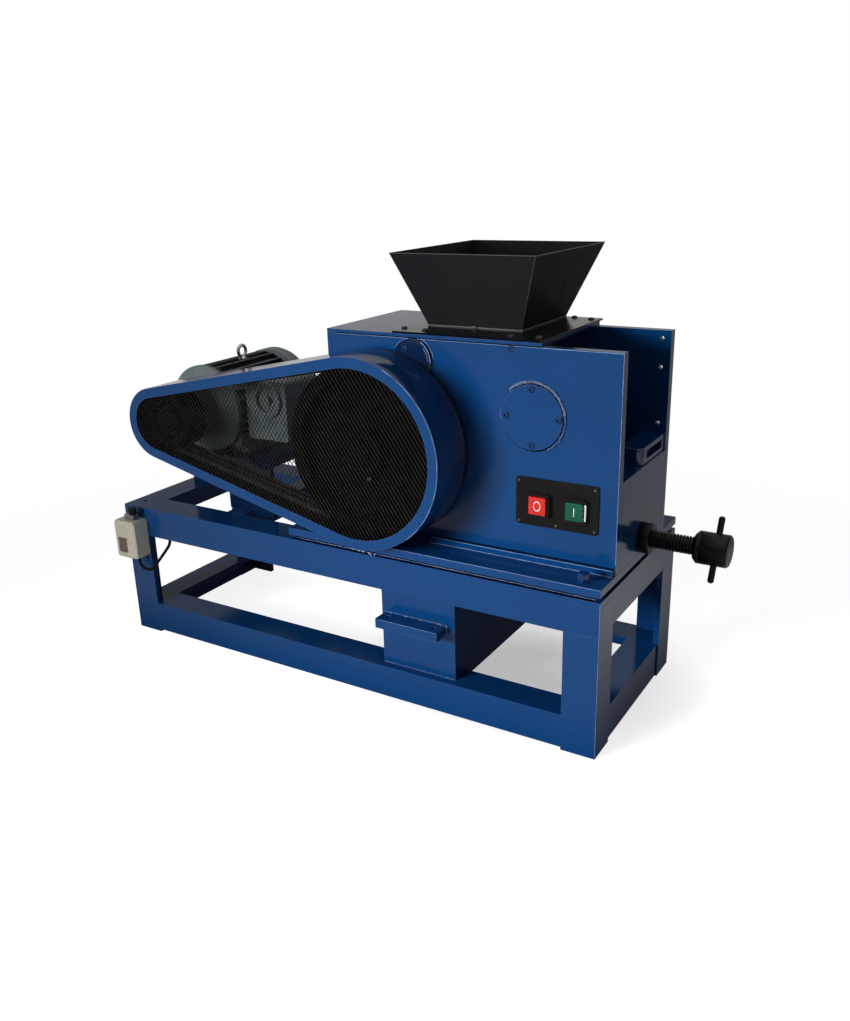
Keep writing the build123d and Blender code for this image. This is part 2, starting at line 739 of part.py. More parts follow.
def motor_fan_cover():
    end = MOTOR_Y1 + COVER_LENGTH
    profile = [(0, MOTOR_Y1), (MOTOR_R, MOTOR_Y1), (MOTOR_R, end - 18), (MOTOR_R - 5, end - 6)]
    profile += [(MOTOR_R - 18, end), (0, end)]
    cover = turned_y(MOTOR, profile)
    reach = MOTOR_R - 24
    for k in range(-VENTS, VENTS + 1):
        z = k * reach / (VENTS + 0.5)
        half = (reach * reach - z * z) ** 0.5
        x = MOTOR_X + half
        cover -= block(MOTOR_X - half, x, end - VENT_D, end, MOTOR_Z + z - VENT_H / 2, MOTOR_Z + z + VENT_H / 2)
    return cover


def terminal_box():
    x0 = MOTOR_X + MOTOR_R + FIN_T
    box = rounded(block(x0, BOX_X1, BOX_Y0, BOX_Y0 + BOX_D, BOX_Z0, BOX_Z1), Axis.Y, BOX_ROUND)
    front = BOX_Y0 - RING_T
    ring = rod_y(RING, front, BOX_Y0, RING_R) - rod_y(RING, front, BOX_Y0, RING_BORE)
    hub = rod_y(RING, front, BOX_Y0, RING_HUB_R)
    return box + ring + hub


def lifting_eye():
    base = MOTOR_Z + MOTOR_R - 9
    stem = rod_z(MOTOR_X, EYE_Y, base, base + 9, EYE_R - 3)
    wire = Pos(EYE_R, 0) * RegularPolygon(EYE_WIRE, 6)
    ring = revolve(Plane.XZ * wire, Axis.Z)
    return stem + Pos(MOTOR_X, EYE_Y, base + 9 + EYE_R - EYE_WIRE / 2) * Rot(0, 90, 0) * ring


def motor_stand():
    stand = block(STAND_X1, BENCH_X1, BENCH_Y0, BENCH_Y1, BENCH_TOP - BENCH_T, BENCH_TOP)
    stand += block(POST_WEB_X, BENCH_X1, BENCH_Y0 - POST_T, BENCH_Y0, BENCH_TOP - BENCH_T, BENCH_TOP)
    stand += block(STAND_X0, STAND_X1, STAND_Y0, BENCH_Y1, BENCH_TOP - BENCH_T, BENCH_TOP)
    return stand + block(STAND_X0, STAND_X1, STAND_Y0, BENCH_Y1, FRAME_TOP, BENCH_TOP - BENCH_T)


# Discharge chute


def chute():
    top = FRAME_TOP + PACK_T
    low = LOWER_TOP - CHUTE_DROP
    y1 = BODY_Y1
    shell = block(CHUTE_X0, CHUTE_X1, CHUTE_Y0, y1, low, top)
    shell -= block(CHUTE_X0 + CHUTE_T, CHUTE_X1 - CHUTE_T, CHUTE_Y0 + CHUTE_T, y1 - CHUTE_T, low, top)
    shell -= block(CHUTE_X0, CHUTE_X1, 0, ANGLE, TOP_Z0, top)
    return shell - block(CHUTE_X0, CHUTE_X1, 0, ANGLE, 0, LOWER_TOP)


def chute_bracket():
    x0 = CHUTE_X0 + BRACKET_INSET
    x1 = x0 + BRACKET_W
    low = BRACKET_TOP - BRACKET_H
    y0 = CHUTE_Y0 - BRACKET_D
    bar = block(x0, x1, y0, CHUTE_Y0, low, BRACKET_TOP)
    for side in (-1, 1):
        x = (x0 + x1) / 2 + side * BRACKET_HOLES / 2
        bar -= rod_z(x, CHUTE_Y0 - BRACKET_D / 2, low, BRACKET_TOP, BRACKET_HOLE_R)
    return bar


# Adjusting gear


def screw_collar():
    collar = rod_x(MID_Y, SCREW_Z, FRAME_L, FRAME_L + COLLAR_L, COLLAR_R)
    collar = chamfer(collar.edges().sort_by(Axis.X)[-1], 2)
    return collar - rod_x(MID_Y, SCREW_Z, FRAME_L, FRAME_L + COLLAR_L, SCREW_R + SCREW_GAP)


def pad_end():
    return OUTLET_X + JAW_GAP / 2 + LINER_T + JAW_T * 1.5 + PAD_GAP


def thrust_pad():
    x0 = pad_end()
    return rod_x(MID_Y, SCREW_Z, x0, x0 + PAD_L, PAD_R)


def adjusting_screw():
    return rod_x(MID_Y, SCREW_Z, pad_end() + PAD_L, KNOB_X0, SCREW_R)


def t_bar_rod():
    return Pos(KNOB_X1 - TBAR_IN, MID_Y, SCREW_Z) * Rot(-TBAR_TILT, 0, 0) * Cylinder(TBAR_R, TBAR_L)


def screw_knob():
    knob = rod_x(MID_Y, SCREW_Z, KNOB_X0, KNOB_X1, KNOB_R)
    knob = chamfer(knob.edges().sort_by(Axis.X)[-1], 3)
    knob = chamfer(knob.edges().sort_by(Axis.X)[0], 6)
    groove_x = KNOB_X0 + KNOB_NECK
    groove = rod_x(MID_Y, SCREW_Z, groove_x, groove_x + KNOB_GROOVE, KNOB_R)
    groove -= rod_x(MID_Y, SCREW_Z, groove_x, groove_x + KNOB_GROOVE, KNOB_R - KNOB_GROOVE)
    return knob - groove - t_bar_rod()


def t_bar():
    bar = t_bar_rod()
    return chamfer(bar.edges(), TBAR_R / 2)


# Control panel


def panel_origin():
    # The panel stands midway between the foot bar and the pivot's cap, a little raised.
    space = PIVOT_Z - PIVOT_CAP_R - BASE_TOP - FOOT_BAR_H
    return FRAME_L - PANEL_INSET - PANEL_L, BASE_TOP + FOOT_BAR_H + (space - PANEL_H) / 2 + PANEL_RAISE


def control_panel():
    x0, z0 = panel_origin()
    front = BODY_Y0 - PANEL_T
    panel = eased(block(x0, x0 + PANEL_L, front, BODY_Y0, z0, z0 + PANEL_H), Axis.Y, PANEL_ROUND)
    for across in (STOP_IN, START_IN):
        x = x0 + across
        z = z0 + BUTTON_UP
        half = BEZEL / 2
        hole = BUTTON / 2 + BUTTON_GAP
        bezel = eased(block(x - half, x + half, front - BEZEL_T, front, z - half, z + half), Axis.Y, PANEL_ROUND)
        panel += bezel - block(x - hole, x + hole, front - BEZEL_T, front, z - hole, z + hole)
    return panel


def button(across):
    x0, z0 = panel_origin()
    x = x0 + across
    z = z0 + BUTTON_UP
    half = BUTTON / 2
    back = BODY_Y0 - PANEL_T - TRAVEL
    cap = eased(block(x - half, x + half, back - BUTTON_T, back, z - half, z + half), Axis.Y, BUTTON_GAP)
    return cap


# Switch box


def switch_box():
    x1 = SWITCH_X0 + SWITCH_L
    z1 = FRAME_TOP - SWITCH_DOWN
    z0 = z1 - SWITCH_H
    case = block(SWITCH_X0, x1, -SWITCH_D, 0, z0, z1)
    back = case.faces().sort_by(Axis.Y)[-1].edges()
    case = chamfer([e for e in case.edges() if e not in back], SWITCH_ROUND)
    x = SWITCH_X0 + WINDOW_IN
    z = z0 + WINDOW_UP
    return case - block(x, x + WINDOW_L, -SWITCH_D, -SWITCH_D + WINDOW_SINK, z, z + WINDOW_H)


def switch_gland():
    z1 = FRAME_TOP - SWITCH_DOWN
    z0 = z1 - SWITCH_H
    clamp_z1 = z1 + CLAMP_H
    clamp = block(CLAMP_X0, CLAMP_X0 + CLAMP_L, -CLAMP_BACK - CLAMP_D, -CLAMP_BACK, z1, clamp_z1)
    stub_x = CLAMP_X0 + CLAMP_L - STUB_R
    clamp += rod_z(stub_x, -CLAMP_BACK - CLAMP_D / 2, clamp_z1, clamp_z1 + STUB_H, STUB_R)
    low = rod_z(*GLAND_LOW, z0 - GLAND_DROP, z0, GLAND_R)
    return Compound([clamp, low])


# The cable leaves the box's underside, hangs in a bight and climbs behind the upper rail's flange.
CABLE_R = 3.5
CABLE_POINTS = [
    (40, -12, 197),
    (40, -12, 184),
    (48, -12, 172.5),
    (62, -12, 167.5),
    (78.5, -11.5, 172),
    (92.5, -9, 186),
    (104, -1, 204),
    (109, 12, 218),
    (108.5, 25, 227),
    (107, 30, 239),
    (107, 30, 252),
    (105, 34, 270),
    (107, 37, 290),
    (107, 37, 310),
]


def corner_radii(points):
    places = [Vector(*p) for p in points]
    radii = []
    for a, b, c in zip(places, places[1:], places[2:]):
        turn = radians((b - a).get_angle(c - b))
        radii.append(0.45 * min((b - a).length, (c - b).length) / tan(turn / 2))
    return radii


def switch_cable():
    radii = corner_radii(CABLE_POINTS)
    print("cable radii", [round(r, 1) for r in radii])
    path = FilletPolyline(*CABLE_POINTS, radius=radii)
    start = Plane(origin=CABLE_POINTS[0], z_dir=(0, 0, -1))
    return sweep(start * Circle(CABLE_R), path)


os.makedirs("parts", exist_ok=True)
save(frame_legs(), "frame_legs")
save(frame_long_rails(), "frame_long_rails")
save(frame_end_rails(), "frame_end_rails")
save(cross_beams(), "cross_beams")
save(packing_strips(), "packing_strips")
save(base_plate(), "base_plate")
save(side_plate_front(), "side_plate_front")
save(side_plate_rear(), "side_plate_rear")
save(end_plate_left(), "end_plate_left")
save(end_wall_right(), "end_wall_right")
save(ledge_block(), "ledge_block")
save(cover_plate(), "cover_plate")
save(hopper_flange(), "hopper_flange")
save(hopper(), "hopper")
save(pivot_caps(), "pivot_caps")
save(hinge_covers(), "hinge_covers")
save(bearing_housings(), "bearing_housings")
save(swing_jaw(), "swing_jaw")
save(adjustable_jaw(), "adjustable_jaw")
save(eccentric_shaft(), "eccentric_shaft")
save(flywheel(), "flywheel")
save(motor_shaft(), "motor_shaft")
save(motor_pulley(), "motor_pulley")
save(v_belts(), "v_belts")
save(guard_band(), "guard_band")
save(guard_rim(), "guard_rim")
save(guard_mesh(), "guard_mesh")
save(guard_post(), "guard_post")
save(motor_body(), "motor_body")
save(motor_feet(), "motor_feet")
save(motor_fan_cover(), "motor_fan_cover")
save(terminal_box(), "terminal_box")
save(lifting_eye(), "lifting_eye")
save(motor_stand(), "motor_stand")
save(chute(), "chute")
save(chute_bracket(), "chute_bracket")
save(screw_collar(), "screw_collar")
save(thrust_pad(), "thrust_pad")
save(adjusting_screw(), "adjusting_screw")
save(screw_knob(), "screw_knob")
save(t_bar(), "t_bar")
save(control_panel(), "control_panel")
save(button(STOP_IN), "stop_button")
save(button(START_IN), "start_button")
save(switch_box(), "switch_box")
save(switch_gland(), "switch_gland")
save(switch_cable(), "switch_cable")
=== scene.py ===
import json
import math

import bmesh
import bpy
from mathutils import Matrix, Vector, noise


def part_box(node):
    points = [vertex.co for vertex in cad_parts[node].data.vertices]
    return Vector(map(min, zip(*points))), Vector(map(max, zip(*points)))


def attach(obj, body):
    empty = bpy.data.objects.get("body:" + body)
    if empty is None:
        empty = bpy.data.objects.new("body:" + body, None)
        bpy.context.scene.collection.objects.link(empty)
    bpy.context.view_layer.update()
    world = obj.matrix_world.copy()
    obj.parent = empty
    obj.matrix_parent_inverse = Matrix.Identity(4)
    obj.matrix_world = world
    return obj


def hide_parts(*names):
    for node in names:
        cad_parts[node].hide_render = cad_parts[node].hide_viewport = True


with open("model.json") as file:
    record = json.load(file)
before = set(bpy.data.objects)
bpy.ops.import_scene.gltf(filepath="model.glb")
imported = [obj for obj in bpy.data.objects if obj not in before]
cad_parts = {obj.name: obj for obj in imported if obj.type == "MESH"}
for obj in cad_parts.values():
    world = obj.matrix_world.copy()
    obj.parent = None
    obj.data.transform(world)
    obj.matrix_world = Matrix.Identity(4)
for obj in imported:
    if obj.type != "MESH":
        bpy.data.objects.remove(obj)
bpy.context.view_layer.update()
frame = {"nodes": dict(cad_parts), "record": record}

nodes = frame["nodes"]

# The weld beads wander at random, by the same amounts in every run.
noise.seed_set(1)

# All lengths are in metres. The corner is the frame's front left foot, and mm() gives a place from it.
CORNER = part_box("frame_legs")[0]
MM = 0.001


def mm(x, y, z):
    return CORNER + Vector((x, y, z)) * MM


# Camera at the photograph's viewpoint
CAMERA_AT = Vector((1.06431, -1.66243, 1.05227))
CAMERA_FORWARD = Vector((-0.49504846, 0.80190795, -0.33447072))
CAMERA_RIGHT = Vector((0.85556766, 0.5169969, -0.02679914))
LENS = 40.61

# Lamps: a soft box at the front left, aimed past the right end, and a weak one overhead
KEY_AT = (-0.9, -2.6, 1.0)
KEY_AIM = (0.8, 0, 0.35)
KEY_SIZE = (1.4, 0.5)
KEY_POWER = 13.5
KEY_SPREAD = 68
TOP_AT = (0.1, -0.2, 3.0)
TOP_AIM = (0, 0, 0.5)
TOP_SIZE = (2.0, 1.4)
TOP_POWER = 3

# World: its fill, and how bright reflections see it at each height, from the horizon (0) to overhead (1)
WORLD_FILL = 0.1
SKY_MIRRORED = ((0.15, 0.5), (0.28, 0.2), (0.42, 0.2), (0.75, 1.0))

# Floor: what the camera sees on top of its shadow, near FLOOR_SHADE_AT and away from it, and where it
# turns white
# The lift is smaller near FLOOR_SHADE_AT: a painted shadow round the machine.
FLOOR_HALF = 30
FLOOR_SHADE_AT = (0.25, 0.05, 0)
FLOOR_LIFT_REACH = (0.1, 0.4)
FLOOR_LIFT = (0.46, 0.87)
FLOOR_FADE = (0.9, 1.9)

# Floor in reflections: an axis with two places on it, each with the brightness there
MIRROR_FRONT = ("Y", (-0.2, 0.04), (-0.35, 0.34))
MIRROR_RIGHT = ("X", (0.5, 0.0), (0.75, 0.58))
MIRROR_RIGHT_FAR = ("Y", (0.4, 1.0), (1.0, 0.42))
MIRROR_BACK = ("Y", (0.5, 0.0), (2.0, 0.6))
MIRROR_BACK_LEFT = ("X", (0.4, 0.0), (-0.3, 1.0))

# Finishes that differ from the record's slot, and the broken edges' widths
# The motor stand, guard post and hinge covers take a darker blue: painted shade for the guard's shadow on
# them.
OWN_FINISH = {
    "motor_body": "finned_iron",
    "motor_stand": "painted_shade_enamel",
    "guard_post": "painted_shade_enamel",
    "hinge_covers": "painted_shade_enamel",
    "hopper_flange": "flange_enamel",
    "frame_long_rails": "rail_enamel",
}
EDGE_WIDTH = 1.0 * MM
OWN_EDGE_WIDTH = {
    "frame_legs": 0.5 * MM,
    "frame_long_rails": 0.5 * MM,
    "frame_end_rails": 0.5 * MM,
    "hopper": 0.5 * MM,
    "guard_band": 0.5 * MM,
    "guard_rim": 0.8 * MM,
    "v_belts": 0.3 * MM,
    "motor_body": 0.6 * MM,
}

# Motor fins: how deep their tips keep the pale colour before the painted shade of the channels, and where
# they start behind the shield
FIN_PAINTED_LIT_DEPTH = 3 * MM
FINS_FROM = 60 * MM

# Switch cable, as the tube in the part, and the rubber sleeve above its clamp
CABLE_R = 3.5 * MM
STUB_H = 17 * MM
CABLE_POINTS = [
    (40, -12, 197),
    (40, -12, 184),
    (48, -12, 172.5),
    (62, -12, 167.5),
    (78.5, -11.5, 172),
    (92.5, -9, 186),
    (104, -1, 204),
    (109, 12, 218),
    (108.5, 25, 227),
    (107, 30, 239),
    (107, 30, 252),
    (105, 34, 270),
    (107, 37, 290),
    (107, 37, 310),
]

# Fine expanded metal of the guard
STRAND_PITCH_X = 9.5 * MM
STRAND_PITCH_Z = 13.8 * MM
STRAND_WIDE = 1.15 * MM
STRAND_NARROW = 0.5 * MM
STRAND_TILT = 0.5 * MM
STRAND_OVERLAP = 0.6 * MM
STRAND_DEPTH = 0.8 * MM

# Adjusting screw's trapezoidal thread
THREAD_PITCH = 6 * MM
THREAD_DEPTH = 2.6 * MM
THREAD_SIDES = 40

# Fasteners: radius and height of each head, and their places in millimetres
WHEEL_SCREW = (5 * MM, 3 * MM)
FLANGE_BOLT = (6 * MM, 3.4 * MM)
CAP_SCREW = (6.5 * MM, 3.6 * MM)
PLATE_PLUG = (6.5 * MM, 2.2 * MM)
BASE_BOLT = (11.5 * MM, 18 * MM)
PANEL_SCREW = (2.6 * MM, 2 * MM)
WHEEL_SCREW_AT = (706, 480)
PLATE_PLUG_AT = (987, 748)
HINGE_BOLT_AT = (767, 733)
PANEL_INSET = 7 * MM
PANEL_THICK = 3 * MM
FOOT_BAR_THICK = 8 * MM
WEB_INSET = 21 * MM
FLANGE_BOLTS_AT = ((741, 107), (793, 97), (975, 97), (1028, 102), (992, 350), (1032, 339), (745, 345))
CAP_SCREWS_OUT = ((0, 52.5), (-50.5, 0), (54, 1), (1, -51.5))
BASE_BOLTS_AT = ((1158, 23), (1158, 407), (540, 23), (540, 407))

# Welds, painted shade along joints and painted highlights along edges, the tables in millimetres
BEAD_STEP = 4 * MM
HOPPER_FOOT = ((768, 153.5), (970, 153.5), (970, 358), (768, 358))
SPATTER = ((666, 329, 2.6), (680, 328.5, 2.1), (690, 328, 2.3), (705, 327, 3.6), (709, 324.5, 2.4),
           (718, 327, 2.8))
BRACKET_SPECKS = ((740, 194), (775, 194.5), (812, 194), (858, 194.5), (870, 193))
SEAM_SPECKS = ((52, 311), (51, 300), (53, 287), (52, 272))
PAINTED_SHADE_JOINTS = (
    ((600, 70.6, 754), (1048, 70.6, 754), 1.1),
    ((505, 9, 326.4), (1188, 9, 326.4), 1.6),
    ((505, 5.5, 322.4), (1188, 5.5, 322.4), 0.9),
    ((505, 2.2, 322.6), (1188, 2.2, 322.6), 0.9),
    ((812, 70.4, 361), (1197, 70.4, 361), 1.1),
    ((737, 70.4, 763.3), (1046, 70.4, 763.3), 1.7),
)
PAINTED_HIGHLIGHT_EDGES = (
    ((600, 70.8, 752.6), (1199.5, 70.8, 752.6), 0.8),
    ((1199.5, 70.8, 752.6), (1199.5, 70.8, 370), 0.8),
    ((813, 63, 359.4), (1196.5, 63, 359.4), 0.7),
    ((813, 63, 347.8), (1196.5, 63, 347.8), 0.7),
    ((620, -0.1, 346.6), (1199.6, -0.1, 346.6), 0.6),
    ((520, 9, 323.5), (1188, 9, 323.5), 0.6),
    ((728, -20, 193.6), (871.5, -20, 193.6), 0.4),
    ((1199.6, 0.2, 320), (1199.6, 0.2, 2), 0.5),
)
# Painted highlight arcs round the hinge cover: outside its edge, behind its face, from and to in degrees,
# thickness
HINGE_HIGHLIGHT_ARCS = (
    (4.5, 5, 64, 6, 0.9),
    (-0.4, 0.6, 58, -2, 1.3),
    (-5.5, 0.2, 42, 2, 0.9),
    (-0.5, 0.5, 148, 96, 0.6),
    (-6, 0.2, 100, 56, 0.3),
)


def camera():
    data = bpy.data.cameras.new("view")
    data.sensor_fit = "HORIZONTAL"
    data.sensor_width = 36
    data.lens = LENS
    data.clip_start = 0.05
    obj = bpy.data.objects.new("view", data)
    up = (-CAMERA_FORWARD).cross(CAMERA_RIGHT)
    turn = Matrix((CAMERA_RIGHT, up, -CAMERA_FORWARD)).transposed()
    obj.matrix_world = Matrix.Translation(CAMERA_AT) @ turn.to_4x4()
    bpy.context.scene.collection.objects.link(obj)
    bpy.context.scene.camera = obj


# Material tools


class Nodes:
    # A material under construction, with short calls for the nodes it is made of.
    def __init__(self, name):
        self.material = bpy.data.materials.new(name)
        self.material.use_nodes = True
        self.tree = self.material.node_tree
        self.shader = self.tree.nodes["Principled BSDF"]
        self.place = self.tree.nodes.new("ShaderNodeTexCoord").outputs["Object"]

    def link(self, a, b):
        self.tree.links.new(a, b)

    def noise(self, scale, detail=3, roughness=0.5, stretch=None):
        node = self.tree.nodes.new("ShaderNodeTexNoise")
        node.inputs["Scale"].default_value = scale
        node.inputs["Detail"].default_value = detail
        node.inputs["Roughness"].default_value = roughness
        place = self.place
        if stretch:
            mapping = self.tree.nodes.new("ShaderNodeMapping")
            mapping.inputs["Scale"].default_value = stretch
            self.link(place, mapping.inputs["Vector"])
            place = mapping.outputs["Vector"]
        self.link(place, node.inputs["Vector"])
        return node.outputs["Fac"]

    def cells(self, scale):
        node = self.tree.nodes.new("ShaderNodeTexVoronoi")
        node.inputs["Scale"].default_value = scale
        self.link(self.place, node.inputs["Vector"])
        return node.outputs["Distance"]

    def ramp(self, value, low, high, a=0.0, b=1.0):
        node = self.tree.nodes.new("ShaderNodeMapRange")
        node.inputs["From Min"].default_value = low
        node.inputs["From Max"].default_value = high
        node.inputs["To Min"].default_value = a
        node.inputs["To Max"].default_value = b
        self.link(value, node.inputs["Value"])
        return node.outputs["Result"]

    def times(self, a, b):
        node = self.tree.nodes.new("ShaderNodeMath")
        node.operation = "MULTIPLY"
        self.link(a, node.inputs[0])
        self.link(b, node.inputs[1])
        return node.outputs[0]

    def plus(self, a, b):
        node = self.tree.nodes.new("ShaderNodeMath")
        self.link(a, node.inputs[0])
        self.link(b, node.inputs[1])
        return node.outputs[0]

    def distance(self, to):
        node = self.tree.nodes.new("ShaderNodeVectorMath")
        node.operation = "DISTANCE"
        node.inputs[1].default_value = to
        self.link(self.place, node.inputs[0])
        return node.outputs["Value"]

    def emission(self, strength):
        node = self.tree.nodes.new("ShaderNodeEmission")
        self.link(strength, node.inputs["Strength"])
        return node.outputs[0]

    def blend(self, factor, a, b):
        node = self.tree.nodes.new("ShaderNodeMixShader")
        self.link(factor, node.inputs[0])
        self.link(a, node.inputs[1])
        self.link(b, node.inputs[2])
        return node.outputs[0]

    def mix(self, factor, a, b):
        node = self.tree.nodes.new("ShaderNodeMix")
        node.data_type = "RGBA"
        for value, socket in ((a, node.inputs[6]), (b, node.inputs[7])):
            if isinstance(value, tuple):
                socket.default_value = (*value, 1)
            else:
                self.link(value, socket)
        self.link(factor, node.inputs[0])
        return node.outputs[2]

    def color(self, source):
        self.link(source, self.shader.inputs["Base Color"])

    def rough(self, source):
        self.link(source, self.shader.inputs["Roughness"])

    def bump(self, source, height, strength=1.0):
        node = self.tree.nodes.new("ShaderNodeBump")
        node.inputs["Strength"].default_value = strength
        node.inputs["Distance"].default_value = height
        self.link(source, node.inputs["Height"])
        previous = self.shader.inputs["Normal"].links
        if previous:
            self.link(previous[0].from_socket, node.inputs["Normal"])
        self.link(node.outputs["Normal"], self.shader.inputs["Normal"])

    def edges(self, width, low=0.02, high=0.25):
        # How far the rounded normal leans from the true one: 0 on a flat, 1 at an edge.
        bevel = self.tree.nodes.new("ShaderNodeBevel")
        bevel.samples = 4
        bevel.inputs["Radius"].default_value = width
        flat = self.tree.nodes.new("ShaderNodeNewGeometry")
        dot = self.tree.nodes.new("ShaderNodeVectorMath")
        dot.operation = "DOT_PRODUCT"
        self.link(bevel.outputs["Normal"], dot.inputs[0])
        self.link(flat.outputs["True Normal"], dot.inputs[1])
        return self.ramp(dot.outputs["Value"], 1 - low, 1 - high)


def rgb(r, g, b):
    # sRGB bytes to the scene's linear colour
    out = []
    for c in (r, g, b):
        c /= 255
        out.append(c / 12.92 if c <= 0.04045 else ((c + 0.055) / 1.055) ** 2.4)
    return tuple(out)


def enamel(name, color, shade, dust_and_highlight, rough=(0.11, 0.15), highlight_share=0.75, shine=0.5):
    # Brushed or sprayed paint: faint clouds and upright strokes, orange peel, fine dust, and paler edges that
    # are painted highlights.
    m = Nodes(name)
    strokes = m.noise(14, 3, 0.6, (1, 1, 0.1))
    clouds = m.times(m.ramp(m.noise(4, 3), 0.2, 0.8), m.ramp(strokes, 0.1, 0.9, 0.5, 1.0))
    tone = m.mix(clouds, color, shade)
    dust = m.ramp(m.noise(420, 4, 0.7), 0.62, 0.8, 0.0, 0.08)
    tone = m.mix(dust, tone, dust_and_highlight)
    # The edges turn to the pale colour: painted highlights along them.
    rim = m.times(m.edges(0.0013), m.ramp(m.noise(60, 4), 0.25, 0.6, 0.35 * highlight_share, highlight_share))
    m.color(m.mix(rim, tone, dust_and_highlight))
    m.rough(m.ramp(m.noise(30, 4), 0.3, 0.75, *rough))
    m.bump(m.noise(260, 2), 0.0001, 0.3)
    m.shader.inputs["Specular IOR Level"].default_value = shine
    return m.material


def cast(name, color, shade, grain=900, rough=(0.5, 0.75), metal=0.0, edge=None, shine=0.5):
    m = Nodes(name)
    tone = m.mix(m.ramp(m.noise(30, 5), 0.35, 0.7), color, shade)
    if edge:
        tone = m.mix(m.times(m.edges(0.0014), m.ramp(m.noise(90, 3), 0.3, 0.6)), tone, edge)
    m.color(tone)
    m.rough(m.ramp(m.noise(60, 4), 0.3, 0.7, *rough))
    m.bump(m.noise(grain, 3), 0.0003, 0.5)
    m.bump(m.cells(260), 0.0002, 0.25)
    m.shader.inputs["Metallic"].default_value = metal
    m.shader.inputs["Specular IOR Level"].default_value = shine
    return m.material


def finned_iron(name, color, shade):
    # The motor's body: pale shield and fin tips, with the channels between the fins painted near-black as
    # shade.
    lo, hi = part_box("motor_body")
    m = Nodes(name)
    flat = m.tree.nodes.new("ShaderNodeVectorMath")
    flat.operation = "MULTIPLY_ADD"
    flat.inputs[1].default_value = (1, 0, 1)
    flat.inputs[2].default_value = (-(lo.x + hi.x) / 2, 0, -(lo.z + hi.z) / 2)
    m.link(m.place, flat.inputs[0])
    out = m.tree.nodes.new("ShaderNodeVectorMath")
    out.operation = "LENGTH"
    m.link(flat.outputs[0], out.inputs[0])
    r = (hi.x - lo.x) / 2
    channel_painted_shade = m.ramp(out.outputs["Value"], r - FIN_PAINTED_LIT_DEPTH * 2, r - FIN_PAINTED_LIT_DEPTH, 1.0, 0.0)
    split = m.tree.nodes.new("ShaderNodeSeparateXYZ")
    m.link(m.place, split.inputs[0])
    finned = m.ramp(split.outputs["Y"], lo.y + FINS_FROM, lo.y + FINS_FROM + 1 * MM)
    tone = m.mix(m.ramp(m.noise(30, 5), 0.35, 0.7), color, tuple(c * 0.8 for c in color))
    m.color(m.mix(m.times(channel_painted_shade, finned), tone, shade))
    m.rough(m.ramp(m.noise(60, 4), 0.3, 0.7, 0.45, 0.65))
    m.bump(m.noise(900, 3), 0.0003, 0.5)
    return m.material


def turned_steel(name, color, shade, axis, rough=(0.22, 0.4)):
    m = Nodes(name)
    stretch = [60, 60, 60]
    stretch[axis] = 1400
    lines = m.noise(1, 3, 0.6, tuple(stretch))
    m.color(m.mix(m.ramp(lines, 0.3, 0.7), color, shade))
    m.rough(m.ramp(m.noise(50, 4), 0.3, 0.7, *rough))
    m.bump(lines, 0.00008, 0.4)
    m.shader.inputs["Metallic"].default_value = 1.0
    return m.material


def plastic(name, color, shade, rough=(0.35, 0.5), grain=1800, dirt=None, shine=0.5):
    m = Nodes(name)
    tone = m.mix(m.ramp(m.noise(40, 4), 0.3, 0.75), color, shade)
    if dirt:
        tone = m.mix(m.ramp(m.noise(120, 5, 0.65), 0.55, 0.8), tone, dirt)
    m.color(tone)
    m.rough(m.ramp(m.noise(80, 3), 0.3, 0.7, *rough))
    m.bump(m.noise(grain, 2), 0.00008, 0.5)
    m.shader.inputs["Specular IOR Level"].default_value = shine
    return m.material


def rubber(name, color, dust, stretch=(1, 1, 1)):
    m = Nodes(name)
    m.color(m.mix(m.ramp(m.noise(160, 4, 0.6, stretch), 0.35, 0.75), color, dust))
    m.rough(m.ramp(m.noise(90, 3), 0.3, 0.7, 0.55, 0.8))
    m.shader.inputs["Specular IOR Level"].default_value = 0.2
    m.bump(m.noise(1500, 2), 0.0001, 0.6)
    return m.material


